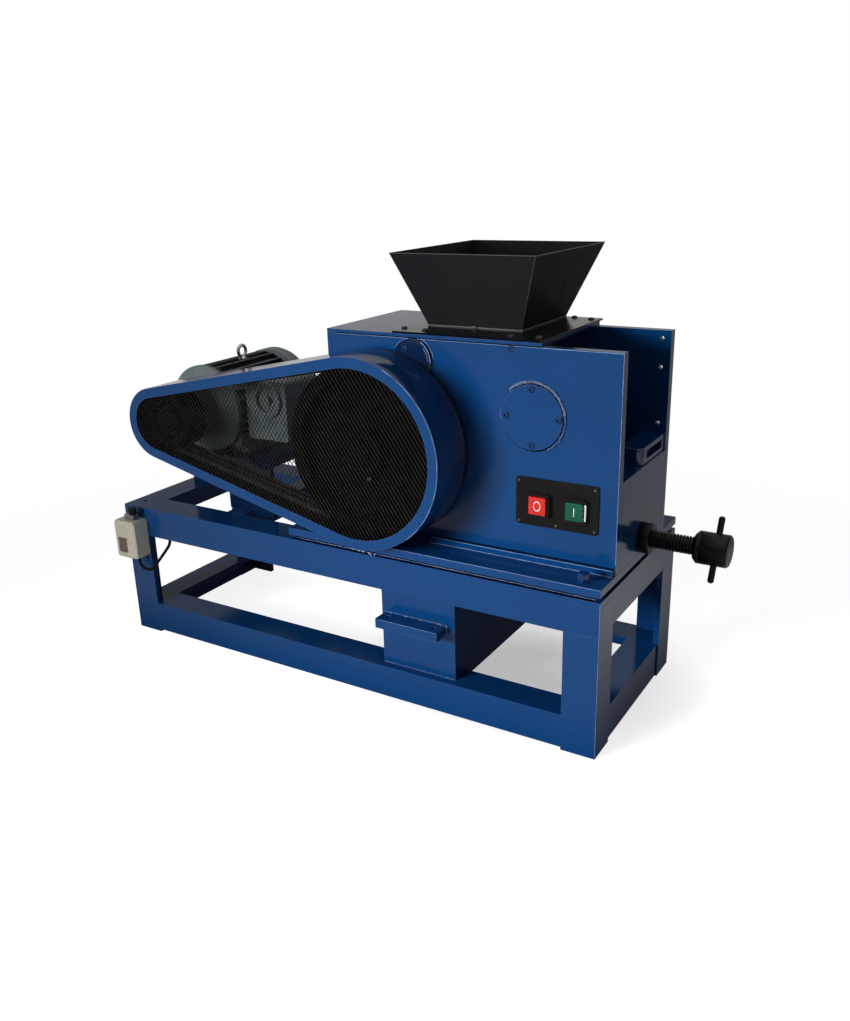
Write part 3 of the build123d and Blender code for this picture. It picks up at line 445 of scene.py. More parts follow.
def make_materials():
    finishes = [
        enamel("blue_enamel", rgb(12, 69, 127), rgb(8, 61, 117), rgb(150, 178, 222)),
        enamel("weld_enamel", rgb(24, 80, 146), rgb(10, 62, 122), rgb(190, 208, 235), (0.12, 0.2), 0.6),
        enamel("hopper_weld", rgb(96, 97, 98), rgb(70, 71, 72), rgb(190, 190, 190), (0.2, 0.3), 0.6),
        # The flange's edges darken instead of paling: painted shade along them.
        enamel("flange_enamel", rgb(34, 35, 36), rgb(28, 29, 30), rgb(20, 20, 21), (0.14, 0.2), 0.5, 0.6),
        enamel("rail_enamel", rgb(12, 69, 127), rgb(8, 61, 117), rgb(150, 178, 222), highlight_share=0.2),
        enamel("painted_highlight_spatter", rgb(206, 214, 236), rgb(160, 176, 214), rgb(230, 236, 246), highlight_share=0.3),
        # A darker blue for parts in the guard's shadow: painted shade.
        enamel("painted_shade_enamel", rgb(6, 36, 74), rgb(4, 27, 60), rgb(60, 92, 140), highlight_share=0.4),
        # Paler plastic for the switch box's +X side: painted light.
        plastic("box_side_painted_light", rgb(250, 246, 226), rgb(240, 234, 212), (0.4, 0.55), 1400),
        # Pale blue for welds: painted highlights.
        enamel("painted_highlight_weld", rgb(104, 122, 160), rgb(34, 70, 122), rgb(214, 220, 232), (0.15, 0.25), 0.8),
        enamel("bolt_enamel", rgb(14, 60, 112), rgb(6, 40, 84), rgb(80, 112, 160), highlight_share=0.3),
        enamel("highlight_enamel", rgb(150, 174, 216), rgb(96, 128, 182), rgb(206, 216, 234), highlight_share=0.2),
        enamel("hopper_highlight", rgb(92, 93, 95), rgb(56, 57, 59), rgb(140, 140, 142), highlight_share=0.2),
        cast("dull_steel", rgb(104, 106, 98), rgb(70, 72, 66), 1200, (0.45, 0.6), 0.3),
        cast("bolt_steel", rgb(62, 62, 60), rgb(44, 44, 43), 1200, (0.4, 0.55), 0.4),
        plastic("guard_inside_painted_shade", rgb(9, 13, 26), rgb(20, 20, 24), (0.6, 0.8), shine=0.1),
        # Near-black for the dark tubes in gaps and joints: painted shade.
        plastic("crevice", rgb(2, 6, 16), rgb(4, 10, 26), (0.7, 0.8), shine=0.1),
        enamel("black_enamel", rgb(38, 39, 41), rgb(32, 33, 35), rgb(150, 150, 152), (0.42, 0.55), 0.5,
               0.05),
        cast("jaw_steel", rgb(120, 117, 112), rgb(84, 76, 68), 700, (0.35, 0.6), 0.8, rgb(170, 168, 165)),
        turned_steel("bright_steel", rgb(190, 190, 188), rgb(150, 150, 148), 2),
        cast("black_iron", rgb(9, 9, 9), rgb(5, 5, 5), 900, (0.55, 0.7), 0.0, rgb(34, 34, 33), 0.08),
        rubber("belt_rubber", rgb(38, 36, 36), rgb(66, 61, 60), (0.15, 1, 0.15)),
        cast("mesh_steel", rgb(60, 58, 54), rgb(40, 39, 37), 1500, (0.4, 0.6), 0.0, None, 0.2),
        # Near-black copy of the mesh steel: painted shade on the narrow strands.
        cast("mesh_painted_shade", rgb(14, 14, 13), rgb(8, 8, 8), 1500, (0.5, 0.7), 0.0, None, 0.05),
        finned_iron("finned_iron", rgb(122, 133, 136), rgb(8, 10, 11)),
        cast("motor_iron", rgb(112, 124, 124), rgb(92, 104, 106), 900, (0.4, 0.6), 0.0, rgb(160, 170, 172)),
        enamel("motor_cover", rgb(140, 150, 150), rgb(124, 134, 134), rgb(200, 206, 206), (0.35, 0.5)),
        turned_steel("black_steel", rgb(40, 40, 41), rgb(24, 24, 25), 0, (0.3, 0.45)),
        plastic("panel_plastic", rgb(22, 21, 20), rgb(28, 27, 26), (0.5, 0.65), shine=0.25),
        plastic("red_plastic", rgb(226, 56, 50), rgb(208, 44, 40), (0.22, 0.35)),
        plastic("green_plastic", rgb(22, 98, 72), rgb(16, 80, 58), (0.22, 0.35)),
        plastic("beige_plastic", rgb(222, 216, 198), rgb(208, 202, 182), (0.4, 0.55), 1400,
                rgb(160, 150, 128)),
        plastic("window_film", rgb(132, 116, 108), rgb(92, 82, 80), (0.25, 0.4), 500, rgb(160, 148, 136)),
        rubber("cable_rubber", rgb(14, 14, 15), rgb(26, 26, 26)),
        plastic("white_print_and_highlight", rgb(240, 240, 236), rgb(226, 226, 222)),
    ]
    # A name that the loaded part already uses has a number after a dot here.
    return {finish.name.split(".")[0]: finish for finish in finishes}


# Mesh tools


def piece(name, bm, material, body="machine", smooth=True):
    mesh = bpy.data.meshes.new(name)
    bm.normal_update()
    bm.to_mesh(mesh)
    bm.free()
    obj = bpy.data.objects.new(name, mesh)
    bpy.context.scene.collection.objects.link(obj)
    mesh.materials.append(materials[material])
    if smooth:
        mesh.shade_smooth()
        obj.modifiers.new("split", "EDGE_SPLIT").split_angle = math.radians(38)
    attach(obj, body)
    return obj


def basis(axis):
    # Two directions square to the axis
    axis = Vector(axis).normalized()
    side = axis.orthogonal().normalized()
    return side, axis.cross(side).normalized()


def lathe(bm, at, axis, profile, sides=24):
    # Turns a profile of (radius, height along the axis) round the axis.
    axis = Vector(axis).normalized()
    u, v = basis(axis)
    rings = []
    for radius, height in profile:
        if radius <= 0:
            rings.append([bm.verts.new(at + axis * height)])
            continue
        ring = []
        for k in range(sides):
            turn = 2 * math.pi * k / sides
            ring.append(bm.verts.new(at + axis * height + (u * math.cos(turn) + v * math.sin(turn)) * radius))
        rings.append(ring)
    for low, high in zip(rings, rings[1:]):
        for k in range(sides):
            j = (k + 1) % sides
            if len(low) == 1:
                bm.faces.new((low[0], high[j], high[k]))
            elif len(high) == 1:
                bm.faces.new((low[k], low[j], high[0]))
            else:
                bm.faces.new((low[k], low[j], high[j], high[k]))


def dome_bolt(bm, at, axis, r, h):
    socket = r * 0.45
    profile = [(0, -h), (r, -h * 0.2), (r, h * 0.25), (r * 0.85, h * 0.75), (r * 0.6, h)]
    profile += [(socket, h), (socket, h * 0.3), (0, h * 0.3)]
    lathe(bm, at, axis, profile, 20)


def hex_bolt(bm, at, axis, r, h):
    lathe(bm, at, axis, [(0, -h * 0.4), (r, 0), (r, h * 0.85), (r * 0.88, h), (0, h)], 6)


def pan_screw(bm, at, axis, r, h):
    profile = [(0, -h), (r, -h * 0.4), (r, 0), (r * 0.9, h * 0.7), (r * 0.55, h), (0, h * 1.02)]
    lathe(bm, at, axis, profile, 18)


def tube(bm, points, radii, sides=8, closed=False):
    # A round skin along a line of points.
    rings = []
    count = len(points)
    for i, p in enumerate(points):
        ahead = points[(i + 1) % count] if closed or i + 1 < count else p
        behind = points[i - 1] if closed or i else p
        direction = (ahead - behind).normalized()
        u, v = basis(direction)
        if rings:
            u = (last_u - direction * last_u.dot(direction)).normalized()
            v = direction.cross(u)
        last_u = u
        ring = []
        for k in range(sides):
            turn = 2 * math.pi * k / sides
            ring.append(bm.verts.new(p + (u * math.cos(turn) + v * math.sin(turn)) * radii[i]))
        rings.append(ring)
    pairs = list(zip(rings, rings[1:]))
    if closed:
        pairs.append((rings[-1], rings[0]))
    for a, b in pairs:
        for k in range(sides):
            j = (k + 1) % sides
            bm.faces.new((a[k], a[j], b[j], b[k]))
    if not closed:
        bm.faces.new(list(reversed(rings[0])))
        bm.faces.new(rings[-1])


def bead(bm, path, r, seed, closed=False):
    # A hand-laid weld: overlapping ripples of uneven size along a path of points.
    points = []
    radii = []
    ends = list(zip(path, path[1:] + path[:1] if closed else path[1:]))
    for a, b in ends:
        steps = max(2, round((b - a).length / BEAD_STEP * 2))
        for k in range(steps):
            p = a.lerp(b, k / steps)
            wander = noise.noise_vector(p * 130 + Vector((seed, 0, 0))) * r * 0.25
            points.append(p + wander)
            ripple = 0.85 + 0.15 * math.cos(math.pi * k)
            radii.append(r * (ripple + 0.25 * noise.noise(p * 90 + Vector((0, seed, 0)))))
    if not closed:
        points.append(path[-1].copy())
        radii.append(r * 0.6)
        radii[0] = r * 0.6
    tube(bm, points, radii, 8, closed)


def arc(at, r, start, end, steps, across=(1, 0, 0), up=(0, 0, 1)):
    # Points round a centre, the angle in degrees from the first direction towards the second.
    out = []
    for k in range(steps + 1):
        turn = math.radians(start + (end - start) * k / steps)
        out.append(at + (Vector(across) * math.cos(turn) + Vector(up) * math.sin(turn)) * r)
    return out


# Stage


def floor():
    # A pale floor that keeps the object's shadow and ends in white.
    bm = bmesh.new()
    bmesh.ops.create_grid(bm, x_segments=2, y_segments=2, size=FLOOR_HALF)
    mesh = bpy.data.meshes.new("floor")
    bm.to_mesh(mesh)
    bm.free()
    obj = bpy.data.objects.new("floor", mesh)
    bpy.context.scene.collection.objects.link(obj)
    mesh.materials.append(floor_finish())


def floor_finish():
    # The camera sees the lit floor, lifted towards white away from the machine and plain white beyond that.
    m = Nodes("pale_floor")
    m.color(m.mix(m.ramp(m.noise(3, 2), 0.3, 0.7), rgb(240, 240, 240), rgb(236, 236, 237)))
    m.shader.inputs["Roughness"].default_value = 0.9
    m.shader.inputs["Specular IOR Level"].default_value = 0.0
    path = m.tree.nodes.new("ShaderNodeLightPath")
    to_camera = path.outputs["Is Camera Ray"]
    # Less lift near the machine is a painted shadow there.
    lift = m.ramp(m.distance(FLOOR_SHADE_AT), *FLOOR_LIFT_REACH, *FLOOR_LIFT)
    near = m.tree.nodes.new("ShaderNodeAddShader")
    m.link(m.shader.outputs[0], near.inputs[0])
    m.link(m.emission(m.times(to_camera, lift)), near.inputs[1])
    faded = m.ramp(m.distance((0, 0, 0)), *FLOOR_FADE)
    seen = m.blend(faded, near.outputs[0], m.emission(to_camera))
    # Reflections see a floor that is dark near the machine, and brighter in front of it, past its right end
    # and behind its left end.
    place = m.tree.nodes.new("ShaderNodeSeparateXYZ")
    m.link(m.place, place.inputs[0])
    front, right, right_far, back, back_left = (
        m.ramp(place.outputs[axis], start[0], end[0], start[1], end[1])
        for axis, start, end in (MIRROR_FRONT, MIRROR_RIGHT, MIRROR_RIGHT_FAR, MIRROR_BACK, MIRROR_BACK_LEFT)
    )
    strength = m.plus(m.plus(front, m.times(right, right_far)), m.times(back, back_left))
    surface = m.blend(path.outputs["Is Glossy Ray"], seen, m.emission(strength))
    m.link(surface, m.tree.nodes["Material Output"].inputs["Surface"])
    return m.material


def lamp(name, at, aim, size, power, spread=180):
    data = bpy.data.lights.new(name, "AREA")
    data.shape = "RECTANGLE"
    data.size, data.size_y = size
    data.spread = math.radians(spread)
    data.energy = power
    obj = bpy.data.objects.new(name, data)
    obj.location = at
    obj.rotation_euler = (Vector(aim) - Vector(at)).to_track_quat("-Z", "Y").to_euler()
    bpy.context.scene.collection.objects.link(obj)
    return obj


def lights():
    # Two lamps, and a world that is white to the camera and graded by height in reflections. The key lamp
    # stays out of reflections, where it would lay a haze on the enamel.
    bpy.context.scene.view_settings.view_transform = "Standard"
    world = bpy.data.worlds.new("studio")
    world.use_nodes = True
    bpy.context.scene.world = world
    tree = world.node_tree
    background = tree.nodes["Background"]
    path = tree.nodes.new("ShaderNodeLightPath")
    toward = tree.nodes.new("ShaderNodeTexCoord")
    split = tree.nodes.new("ShaderNodeSeparateXYZ")
    tree.links.new(toward.outputs["Generated"], split.inputs[0])
    sky = tree.nodes.new("ShaderNodeValToRGB")
    for stop in SKY_MIRRORED[2:]:
        sky.color_ramp.elements.new(stop[0])
    for element, (height, bright) in zip(sky.color_ramp.elements, SKY_MIRRORED):
        element.position = height
        element.color = (bright, bright, bright, 1)
    tree.links.new(split.outputs["Z"], sky.inputs["Fac"])
    mirrored = tree.nodes.new("ShaderNodeMix")
    mirrored.inputs[2].default_value = WORLD_FILL
    tree.links.new(path.outputs["Is Glossy Ray"], mirrored.inputs[0])
    tree.links.new(sky.outputs["Color"], mirrored.inputs[3])
    strength = tree.nodes.new("ShaderNodeMath")
    strength.operation = "MAXIMUM"
    tree.links.new(path.outputs["Is Camera Ray"], strength.inputs[0])
    tree.links.new(mirrored.outputs[0], strength.inputs[1])
    tree.links.new(strength.outputs[0], background.inputs["Strength"])
    background.inputs["Color"].default_value = (1, 1, 1, 1)
    lamp("key", KEY_AT, KEY_AIM, KEY_SIZE, KEY_POWER, KEY_SPREAD).visible_glossy = False
    lamp("top", TOP_AT, TOP_AIM, TOP_SIZE, TOP_POWER)


# CAD nodes


def dress():
    # Every CAD node gets its finish and softly broken edges.
    finish = {s["node"]: s["material_slot"] for s in frame["record"]["subparts"]}
    finish.update(OWN_FINISH)
    for name, obj in nodes.items():
        obj.data.materials.clear()
        obj.data.materials.append(materials[finish[name]])
        weld = obj.modifiers.new("weld", "WELD")
        weld.merge_threshold = 0.02 * MM
        flats = obj.modifiers.new("flats", "DECIMATE")
        flats.decimate_type = "DISSOLVE"
        flats.angle_limit = math.radians(1)
        soft = obj.modifiers.new("soft", "BEVEL")
        soft.width = OWN_EDGE_WIDTH.get(name, EDGE_WIDTH)
        soft.segments = 2
        soft.limit_method = "ANGLE"
        soft.angle_limit = math.radians(32)
        soft.harden_normals = True


def black_stub():
    # The cable leaves the steel clamp through a black rubber sleeve.
    mesh = nodes["switch_gland"].data
    mesh.materials.append(materials["cable_rubber"])
    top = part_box("switch_gland")[1].z - STUB_H
    for polygon in mesh.polygons:
        if polygon.center.z > top + 0.5 * MM:
            polygon.material_index = 1


def painted_light_box_sides():
    # The box's faces turned to +X take a paler plastic colour than its front: painted light on that side.
    mesh = nodes["switch_box"].data
    mesh.materials.append(materials["box_side_painted_light"])
    for polygon in mesh.polygons:
        if polygon.normal.x > 0.7:
            polygon.material_index = 1


def painted_shade_inside():
    # The guard's inner walls are painted dark: painted shade inside the guard, with belt dust.
    loop = guard_loop()
    mesh = nodes["guard_band"].data
    mesh.materials.append(materials["guard_inside_painted_shade"])
    for polygon in mesh.polygons:
        inward = polygon.center + polygon.normal * 2 * MM
        if abs(polygon.normal.y) < 0.5 and inside_loop(inward.x, inward.z, loop):
            polygon.material_index = 1


# Cord


def switch_cable():
    data = bpy.data.curves.new("switch_cable_run", "CURVE")
    data.dimensions = "3D"
    data.bevel_depth = CABLE_R
    data.bevel_resolution = 6
    data.resolution_u = 10
    spline = data.splines.new("NURBS")
    spline.points.add(len(CABLE_POINTS) - 1)
    for point, place in zip(spline.points, CABLE_POINTS):
        point.co = (*mm(*place), 1)
    spline.use_endpoint_u = True
    spline.order_u = 3
    data.materials.append(materials["cable_rubber"])
    obj = bpy.data.objects.new("switch_cable_run", data)
    bpy.context.scene.collection.objects.link(obj)
    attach(obj, "machine")
    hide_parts("switch_cable")


# Guard's expanded metal


def guard_loop():
    # The loop's two circles, read from the mesh node's own box: the big one right, the small one left.
    lo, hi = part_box("guard_mesh")
    big = (hi.z - lo.z) / 2
    big_at = Vector((hi.x - big, 0, (hi.z + lo.z) / 2))
    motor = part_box("motor_pulley")
    small_at = Vector(((motor[0].x + motor[1].x) / 2, 0, (motor[0].z + motor[1].z) / 2))
    small = small_at.x - lo.x
    return big_at, big, small_at, small


def inside_loop(x, z, loop):
    # Distances along the loop's middle line and away from it, turned to the slope of its straight side.
    big_at, big, small_at, small = loop
    along = small_at - big_at
    length = along.length
    away = along / length
    p = Vector((x, 0, z)) - big_at
    s = p.dot(away)
    across = abs(p.x * away.z - p.z * away.x)
    lean = math.asin((big - small) / length)
    run = s * math.cos(lean) - across * math.sin(lean)
    if run < 0:
        return p.length < big
    if run > length * math.cos(lean):
        return (Vector((x, 0, z)) - small_at).length < small
    return s * math.sin(lean) + across * math.cos(lean) < big


def expanded_metal():
    loop = guard_loop()
    lo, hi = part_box("guard_mesh")
    bm = bmesh.new()
    front = lo.y + STRAND_TILT
    back = front + STRAND_DEPTH
    columns = int((hi.x - lo.x) / STRAND_PITCH_X) + 2
    rows = int((hi.z - lo.z) / STRAND_PITCH_Z) + 2
    for i in range(columns):
        for j in range(rows):
            for half in (0, 1):
                x = lo.x + (i + half / 2) * STRAND_PITCH_X
                z = lo.z + (j + half / 2) * STRAND_PITCH_Z
                knot = Vector((x, 0, z))
                for side, width in ((1, STRAND_WIDE), (-1, STRAND_NARROW)):
                    tip = knot + Vector((side * STRAND_PITCH_X / 2, 0, -STRAND_PITCH_Z / 2))
                    ends = [inside_loop(p.x, p.z, loop) for p in (knot, tip)]
                    if not any(ends):
                        continue
                    # The narrow strands take a near-black: painted shade for their faces turned from the
                    # light.
                    strand(bm, knot, tip, width, front, back, loop, int(side < 0))
    obj = piece("expanded_metal", bm, "mesh_steel", smooth=False)
    obj.data.materials.append(materials["mesh_painted_shade"])
    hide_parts("guard_mesh")


def strand(bm, a, b, width, front, back, loop, shaded):
    # One strand of the lattice, twisted so that its front face leans to the light, and cut at the rim.
    for _ in range(6):
        if not inside_loop(a.x, a.z, loop):
            a = a.lerp(b, 0.25)
        if not inside_loop(b.x, b.z, loop):
            b = b.lerp(a, 0.25)
    run = b - a
    if run.length < STRAND_OVERLAP:
        return
    side = Vector((run.z, 0, -run.x)).normalized() * width / 2
    along = run.normalized() * STRAND_OVERLAP / 2
    edges = ((-side, front + STRAND_TILT, back), (side, front - STRAND_TILT, back - STRAND_TILT))
    corners = []
    for end in (a - along, b + along):
        for offset, y0, y1 in edges:
            corners.append(bm.verts.new((end.x + offset.x, y0, end.z + offset.z)))
            corners.append(bm.verts.new((end.x + offset.x, y1, end.z + offset.z)))
    af, ab, bf, bb, cf, cb, df, db = corners
    for face in ((af, bf, df, cf), (ab, cb, db, bb), (af, cf, cb, ab), (bf, bb, db, df)):
        bm.faces.new(face).material_index = shaded


# Adjusting gear


def thread():
    lo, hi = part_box("adjusting_screw")
    r = (hi.z - lo.z) / 2
    core = r - THREAD_DEPTH
    middle = Vector((0, (lo.y + hi.y) / 2, (lo.z + hi.z) / 2))
    profile = [(0.0, core), (0.34, core), (0.45, r), (0.79, r), (0.9, core)]
    length = hi.x - lo.x
    turns = length / THREAD_PITCH
    bm = bmesh.new()
    rings = []
    count = int(turns * THREAD_SIDES)
    for k in range(count + 1):
        turn = 2 * math.pi * k / THREAD_SIDES
        ring = []
        for share, radius in profile:
            x = lo.x + THREAD_PITCH * (k / THREAD_SIDES + share - 1)
            x = min(max(x, lo.x), hi.x)
            ring.append(bm.verts.new(middle + Vector((x, radius * math.cos(turn), radius * math.sin(turn)))))
        rings.append(ring)
    for a, b in zip(rings, rings[1:]):
        for k in range(len(profile) - 1):
            bm.faces.new((a[k], a[k + 1], b[k + 1], b[k]))
    bar = [(0, 0), (core * 0.99, 0), (core * 0.99, length), (0, length)]
    lathe(bm, middle + Vector((lo.x, 0, 0)), (1, 0, 0), bar, 32)
    obj = piece("screw_thread", bm, "black_steel", "screw")
    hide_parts("adjusting_screw")


# Motor


def eye_bolt():
    lo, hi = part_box("lifting_eye")
    x = (lo.x + hi.x) / 2
    y = (lo.y + hi.y) / 2
    outer = (hi.y - lo.y) / 2
    wire = outer * 0.235
    ring_at = Vector((x, y, hi.z - outer))
    bm = bmesh.new()
    circle = arc(ring_at, outer - wire, 0, 360, 48, across=(0, 1, 0))[:-1]
    tube(bm, circle, [wire] * 48, 14, closed=True)
    foot = Vector((x, y, lo.z))
    shank = ring_at.z - outer + wire - lo.z
    stem = (hi.x - lo.x) / 2
    profile = [(0, 0), (stem * 0.99, 0), (stem * 0.99, shank * 0.45), (stem * 0.7, shank * 0.75)]
    profile += [(wire * 1.1, shank * 1.3), (0, shank * 1.3)]
    lathe(bm, foot, (0, 0, 1), profile, 28)
    obj = piece("eye_bolt", bm, "bright_steel")
    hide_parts("lifting_eye")


# Buttons


def symbols():
    lo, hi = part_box("stop_button")
    at = Vector(((lo.x + hi.x) / 2, lo.y, (lo.z + hi.z) / 2))
    outer = (hi.x - lo.x) * 0.26
    bm = bmesh.new()
    ring = arc(at, outer, 0, 360, 40)[:-1]
    tube(bm, ring, [1.15 * MM] * 40, 6, closed=True)
    for v in bm.verts:
        v.co.y = at.y + (v.co.y - at.y) * 0.3
        v.co.x = at.x + (v.co.x - at.x) * 0.72
    piece("stop_symbol", bm, "white_print_and_highlight", "stop")
    lo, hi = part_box("start_button")
    at = Vector(((lo.x + hi.x) / 2, lo.y, (lo.z + hi.z) / 2))
    bm = bmesh.new()
    half = (hi.z - lo.z) * 0.24
    tube(bm, [at - Vector((0, 0, half)), at + Vector((0, 0, half))], [0.95 * MM] * 2, 8)
    for v in bm.verts:
        v.co.y = at.y + (v.co.y - at.y) * 0.35
    piece("start_symbol", bm, "white_print_and_highlight", "start")


# Fasteners


def bolt_row(name, places, material, make, size):
    bm = bmesh.new()
    for at, axis in places:
        make(bm, at, axis, *size)
    piece(name, bm, material)


def on_face(x, z, face_y):
    at = mm(x, 0, z)
    at.y = face_y
    return at


def on_top(x, y, top_z):
    at = mm(x, y, 0)
    at.z = top_z
    return at


def fasteners():
    up = Vector((0, 0, 1))
    front = Vector((0, -1, 0))
    rear = Vector((0, 1, 0))

    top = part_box("hopper_flange")[1].z
    places = [(on_top(x, y, top), up) for x, y in FLANGE_BOLTS_AT]
    bolt_row("flange_bolts", places, "bolt_steel", dome_bolt, FLANGE_BOLT)

    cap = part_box("pivot_caps")
    centre = (cap[0] + cap[1]) / 2
    places = []
    for dx, dz in CAP_SCREWS_OUT:
        for y, axis in ((cap[0].y, front), (cap[1].y, rear)):
            places.append((Vector((centre.x + dx * MM, y, centre.z + dz * MM)), axis))
    bolt_row("cap_screws", places, "bolt_enamel", dome_bolt, CAP_SCREW)

    plate_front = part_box("side_plate_front")[0].y + FOOT_BAR_THICK
    places = [(on_face(*PLATE_PLUG_AT, plate_front), front)]
    bolt_row("plate_plug", places, "bolt_enamel", dome_bolt, PLATE_PLUG)

    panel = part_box("control_panel")
    panel_front = panel[1].y - PANEL_THICK
    left, right = panel[0].x + PANEL_INSET, panel[1].x - PANEL_INSET
    low, high = panel[0].z + PANEL_INSET, panel[1].z - PANEL_INSET
    corners = [(left, low), (left, high), (right, low), (right, high), ((left + right) / 2, low)]
    places = [(Vector((x, panel_front, z)), front) for x, z in corners]
    bolt_row("panel_screws", places, "dull_steel", pan_screw, PANEL_SCREW)

    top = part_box("base_plate")[1].z
    places = [(on_top(x, y, top), up) for x, y in BASE_BOLTS_AT]
    bolt_row("base_bolts", places, "bolt_enamel", hex_bolt, BASE_BOLT)

    places = [(on_face(*HINGE_BOLT_AT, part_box("hinge_covers")[0].y), front)]
    bolt_row("hinge_bolt", places, "bolt_enamel", dome_bolt, CAP_SCREW)

    places = [(on_face(*WHEEL_SCREW_AT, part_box("flywheel")[0].y + WEB_INSET), front)]
    bolt_row("wheel_screw", places, "bright_steel", dome_bolt, WHEEL_SCREW)


def plates():
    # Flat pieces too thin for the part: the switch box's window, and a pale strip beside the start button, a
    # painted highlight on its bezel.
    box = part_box("switch_box")
    bm = bmesh.new()
    lo = mm(14, 0, 218)
    lo.y = box[0].y + 2.2 * MM
    slab(bm, lo, lo + Vector((28, 0.8, 37)) * MM)
    piece("switch_window", bm, "window_film", smooth=False)
    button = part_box("start_button")
    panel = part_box("control_panel")
    bm = bmesh.new()
    lo = Vector((button[1].x + 1.2 * MM, panel[0].y - 0.0001, button[0].z + 1 * MM))
    slab(bm, lo, Vector((lo.x + 4 * MM, panel[0].y + 0.6 * MM, button[1].z - 1 * MM)))
    piece("start_bezel_highlight", bm, "white_print_and_highlight", smooth=False)


def slab(bm, lo, hi):
    made = bmesh.ops.create_cube(bm, size=1)["verts"]
    for v in made:
        v.co = Vector((lo[k] + (hi[k] - lo[k]) * (v.co[k] + 0.5) for k in range(3)))
    bmesh.ops.bevel(bm, geom=bm.edges[:], offset=0.2 * MM, segments=1, affect="EDGES")


def cap_front(back):
    # Middle of the front pivot cap, so far behind its face, and its radius
    lo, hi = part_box("pivot_caps")
    at = (lo + hi) / 2
    at.y = lo.y + back
    return at, (hi.x - lo.x) / 2


def painted_welds():
    bm = bmesh.new()
    at, r = cap_front(3.4 * MM)
    bead(bm, arc(at, r + 4.0 * MM, 10, -62, 24), 3.0 * MM, 3.0)
    bead(bm, arc(at, r + 2.4 * MM, 168, 186, 6), 1.6 * MM, 5.0)

    lo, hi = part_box("chute_bracket")
    y = hi.y - 0.6 * MM
    corner = Vector((hi.x, y, hi.z))
    bead(bm, [Vector((lo.x, y, hi.z)), corner], 2.4 * MM, 7.0)
    bead(bm, [corner, Vector((hi.x, y, lo.z))], 2.4 * MM, 8.0)

    lo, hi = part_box("chute")
    shelf = mm(0, 0, 76).z
    bead(bm, [Vector((lo.x, lo.y, shelf)), Vector((hi.x, lo.y, shelf))], 2.4 * MM, 9.0)

    bead(bm, [mm(60, 1.5, 318), mm(61, 1.5, 254)], 1.2 * MM, 12.0)
    piece("weld_beads", bm, "weld_enamel")


def painted_highlight_welds():
    # Weld beads and specks in a pale blue: painted highlights on the welds.
    bm = bmesh.new()
    at, r = cap_front(3.4 * MM)
    bead(bm, arc(at, r + 4.2 * MM, 133, 8, 42), 3.6 * MM, 3.5)
    for x, z in BRACKET_SPECKS:
        bead(bm, [mm(x, 17.5, z), mm(x + 6, 17.5, z)], 3.0 * MM, x * 0.2)
    for x, z in SEAM_SPECKS:
        bead(bm, [mm(x, 1, z), mm(x + 1.5, 1, z - 3)], 2.2 * MM, x * 0.7 + z)
    piece("painted_highlight_welds", bm, "painted_highlight_weld")

    # Weld spatter coloured near-white: painted highlights on the spatter.
    bm = bmesh.new()
    for x, z, size in SPATTER:
        bead(bm, [mm(x, 1.5, z), mm(x + 1.5, 1.5, z - 2.5)], size * MM, x * 0.3)
    piece("weld_spatter", bm, "painted_highlight_spatter")


def hopper_welds():
    bm = bmesh.new()
    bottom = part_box("hopper")[0].z
    foot = [on_top(x, y, bottom + 1.2 * MM) for x, y in HOPPER_FOOT]
    bead(bm, foot, 1.7 * MM, 13.0, closed=True)
    blob = on_top(866, 152, bottom + 2 * MM)
    bead(bm, [blob, blob + Vector((9 * MM, 0, 0))], 3.4 * MM, 14.0)
    piece("hopper_welds", bm, "hopper_weld")


def swelling(path, ends, more):
    # Radii along a path, thin at its ends and thicker by so much in its middle
    return [(ends + more * math.sin(math.pi * k / len(path))) * MM for k in range(len(path))]


def painted_shade_joints():
    # Dark tubes of painted shade in gaps and joints: round the cap, under plates and behind the guard.
    bm = bmesh.new()
    at, r = cap_front(3.6 * MM)
    ring = arc(at, r + 1.1 * MM, 128, -150, 90)
    tube(bm, ring, swelling(ring, 0.7, 1.2), 6)
    for a, b, thick in PAINTED_SHADE_JOINTS:
        tube(bm, [mm(*a), mm(*b)], [thick * MM] * 2, 6)
    loop = guard_loop()
    behind = Vector((loop[0].x, mm(0, 69.6, 0).y, loop[0].z))
    around = arc(behind, loop[1] + 1.2 * MM, 66, -50, 80)
    tube(bm, around, swelling(around, 0.6, 2.2), 6)
    piece("painted_shade_lines", bm, "crevice")


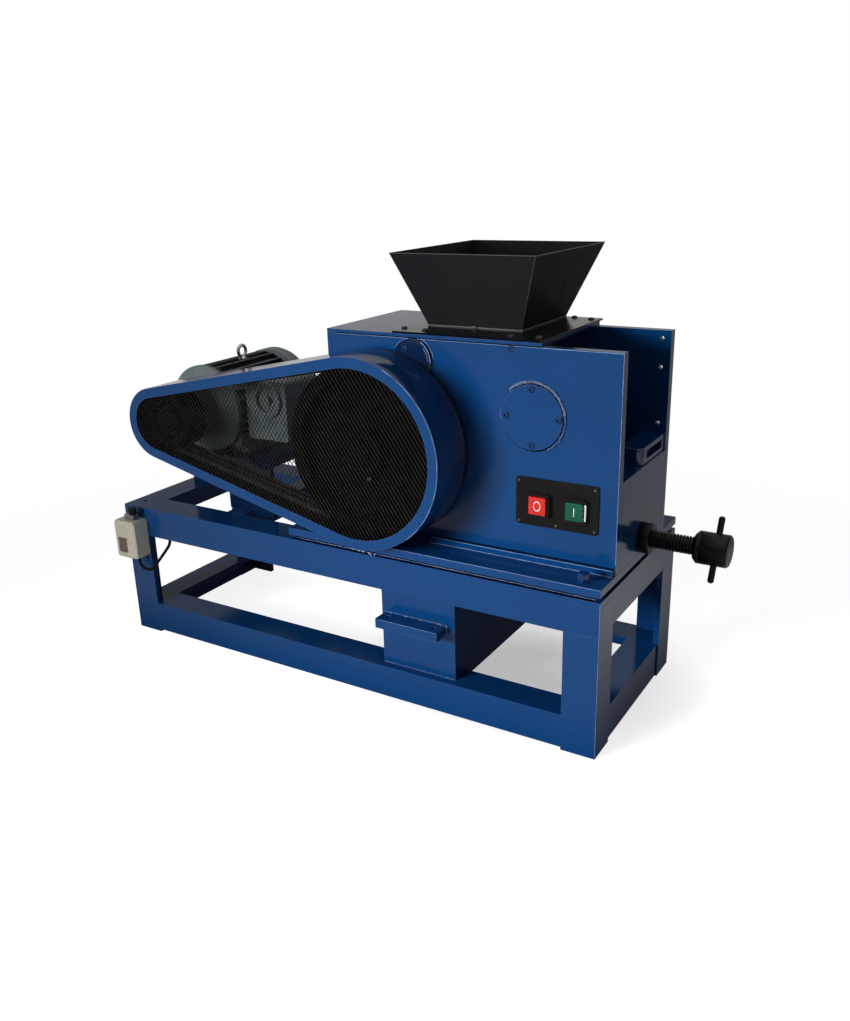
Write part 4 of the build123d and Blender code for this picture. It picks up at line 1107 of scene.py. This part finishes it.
def painted_highlight_edges():
    # Thin pale tubes along rounded edges: painted highlights where the edges would catch the light.
    big_at = guard_loop()[0]
    lo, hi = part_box("guard_rim")
    rim_at = Vector((big_at.x, lo.y + 0.5 * MM, big_at.z))
    rows = [(arc(rim_at, (hi.z - lo.z) / 2 - 0.5 * MM, 66, -52, 60), 0.9)]
    for a, b, thick in PAINTED_HIGHLIGHT_EDGES:
        rows.append(([mm(*a).lerp(mm(*b), i / 30) for i in range(31)], thick))
    lo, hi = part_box("hinge_covers")
    r = (hi.x - lo.x) / 2
    for out, back, start, end, thick in HINGE_HIGHLIGHT_ARCS:
        at = Vector(((lo.x + hi.x) / 2, lo.y + back * MM, lo.z + r))
        rows.append((arc(at, r + out * MM, start, end, 24), thick))
    bm = bmesh.new()
    for k, (points, thick) in enumerate(rows):
        uneven = [0.75 + 0.5 * noise.noise(Vector((i * 0.35, k, 0))) for i in range(len(points))]
        tube(bm, points, [thick * MM * share for share in uneven], 6)
    piece("painted_highlight_lines", bm, "highlight_enamel")


def hopper_painted_highlights():
    # Thin pale tubes along the hopper's rim and corners: painted highlights on its edges.
    lo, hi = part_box("hopper")
    rim = [Vector((x, y, hi.z - 0.8 * MM)) for x, y in ((lo.x, lo.y), (hi.x, lo.y), (hi.x, hi.y))]
    feet = [mm(x, y, 767) for x, y in HOPPER_FOOT[:2]]
    bm = bmesh.new()
    for a, b in ((rim[0], rim[1]), (rim[1], rim[2]), (rim[1], feet[1]), (rim[0], feet[0])):
        inside = Vector((-0.5 if a.x > 0 else 0.5, 0.5, 0)) * MM
        tube(bm, [a.lerp(b, i / 20) + inside for i in range(21)], [0.7 * MM] * 21, 6)
    piece("hopper_painted_highlights", bm, "hopper_highlight")


camera()
materials = make_materials()
switch_cable()
floor()
lights()
dress()
black_stub()
painted_shade_inside()
painted_light_box_sides()
expanded_metal()
thread()
eye_bolt()
symbols()
fasteners()
plates()
painted_welds()
painted_highlight_welds()
hopper_welds()
painted_shade_joints()
painted_highlight_edges()
hopper_painted_highlights()
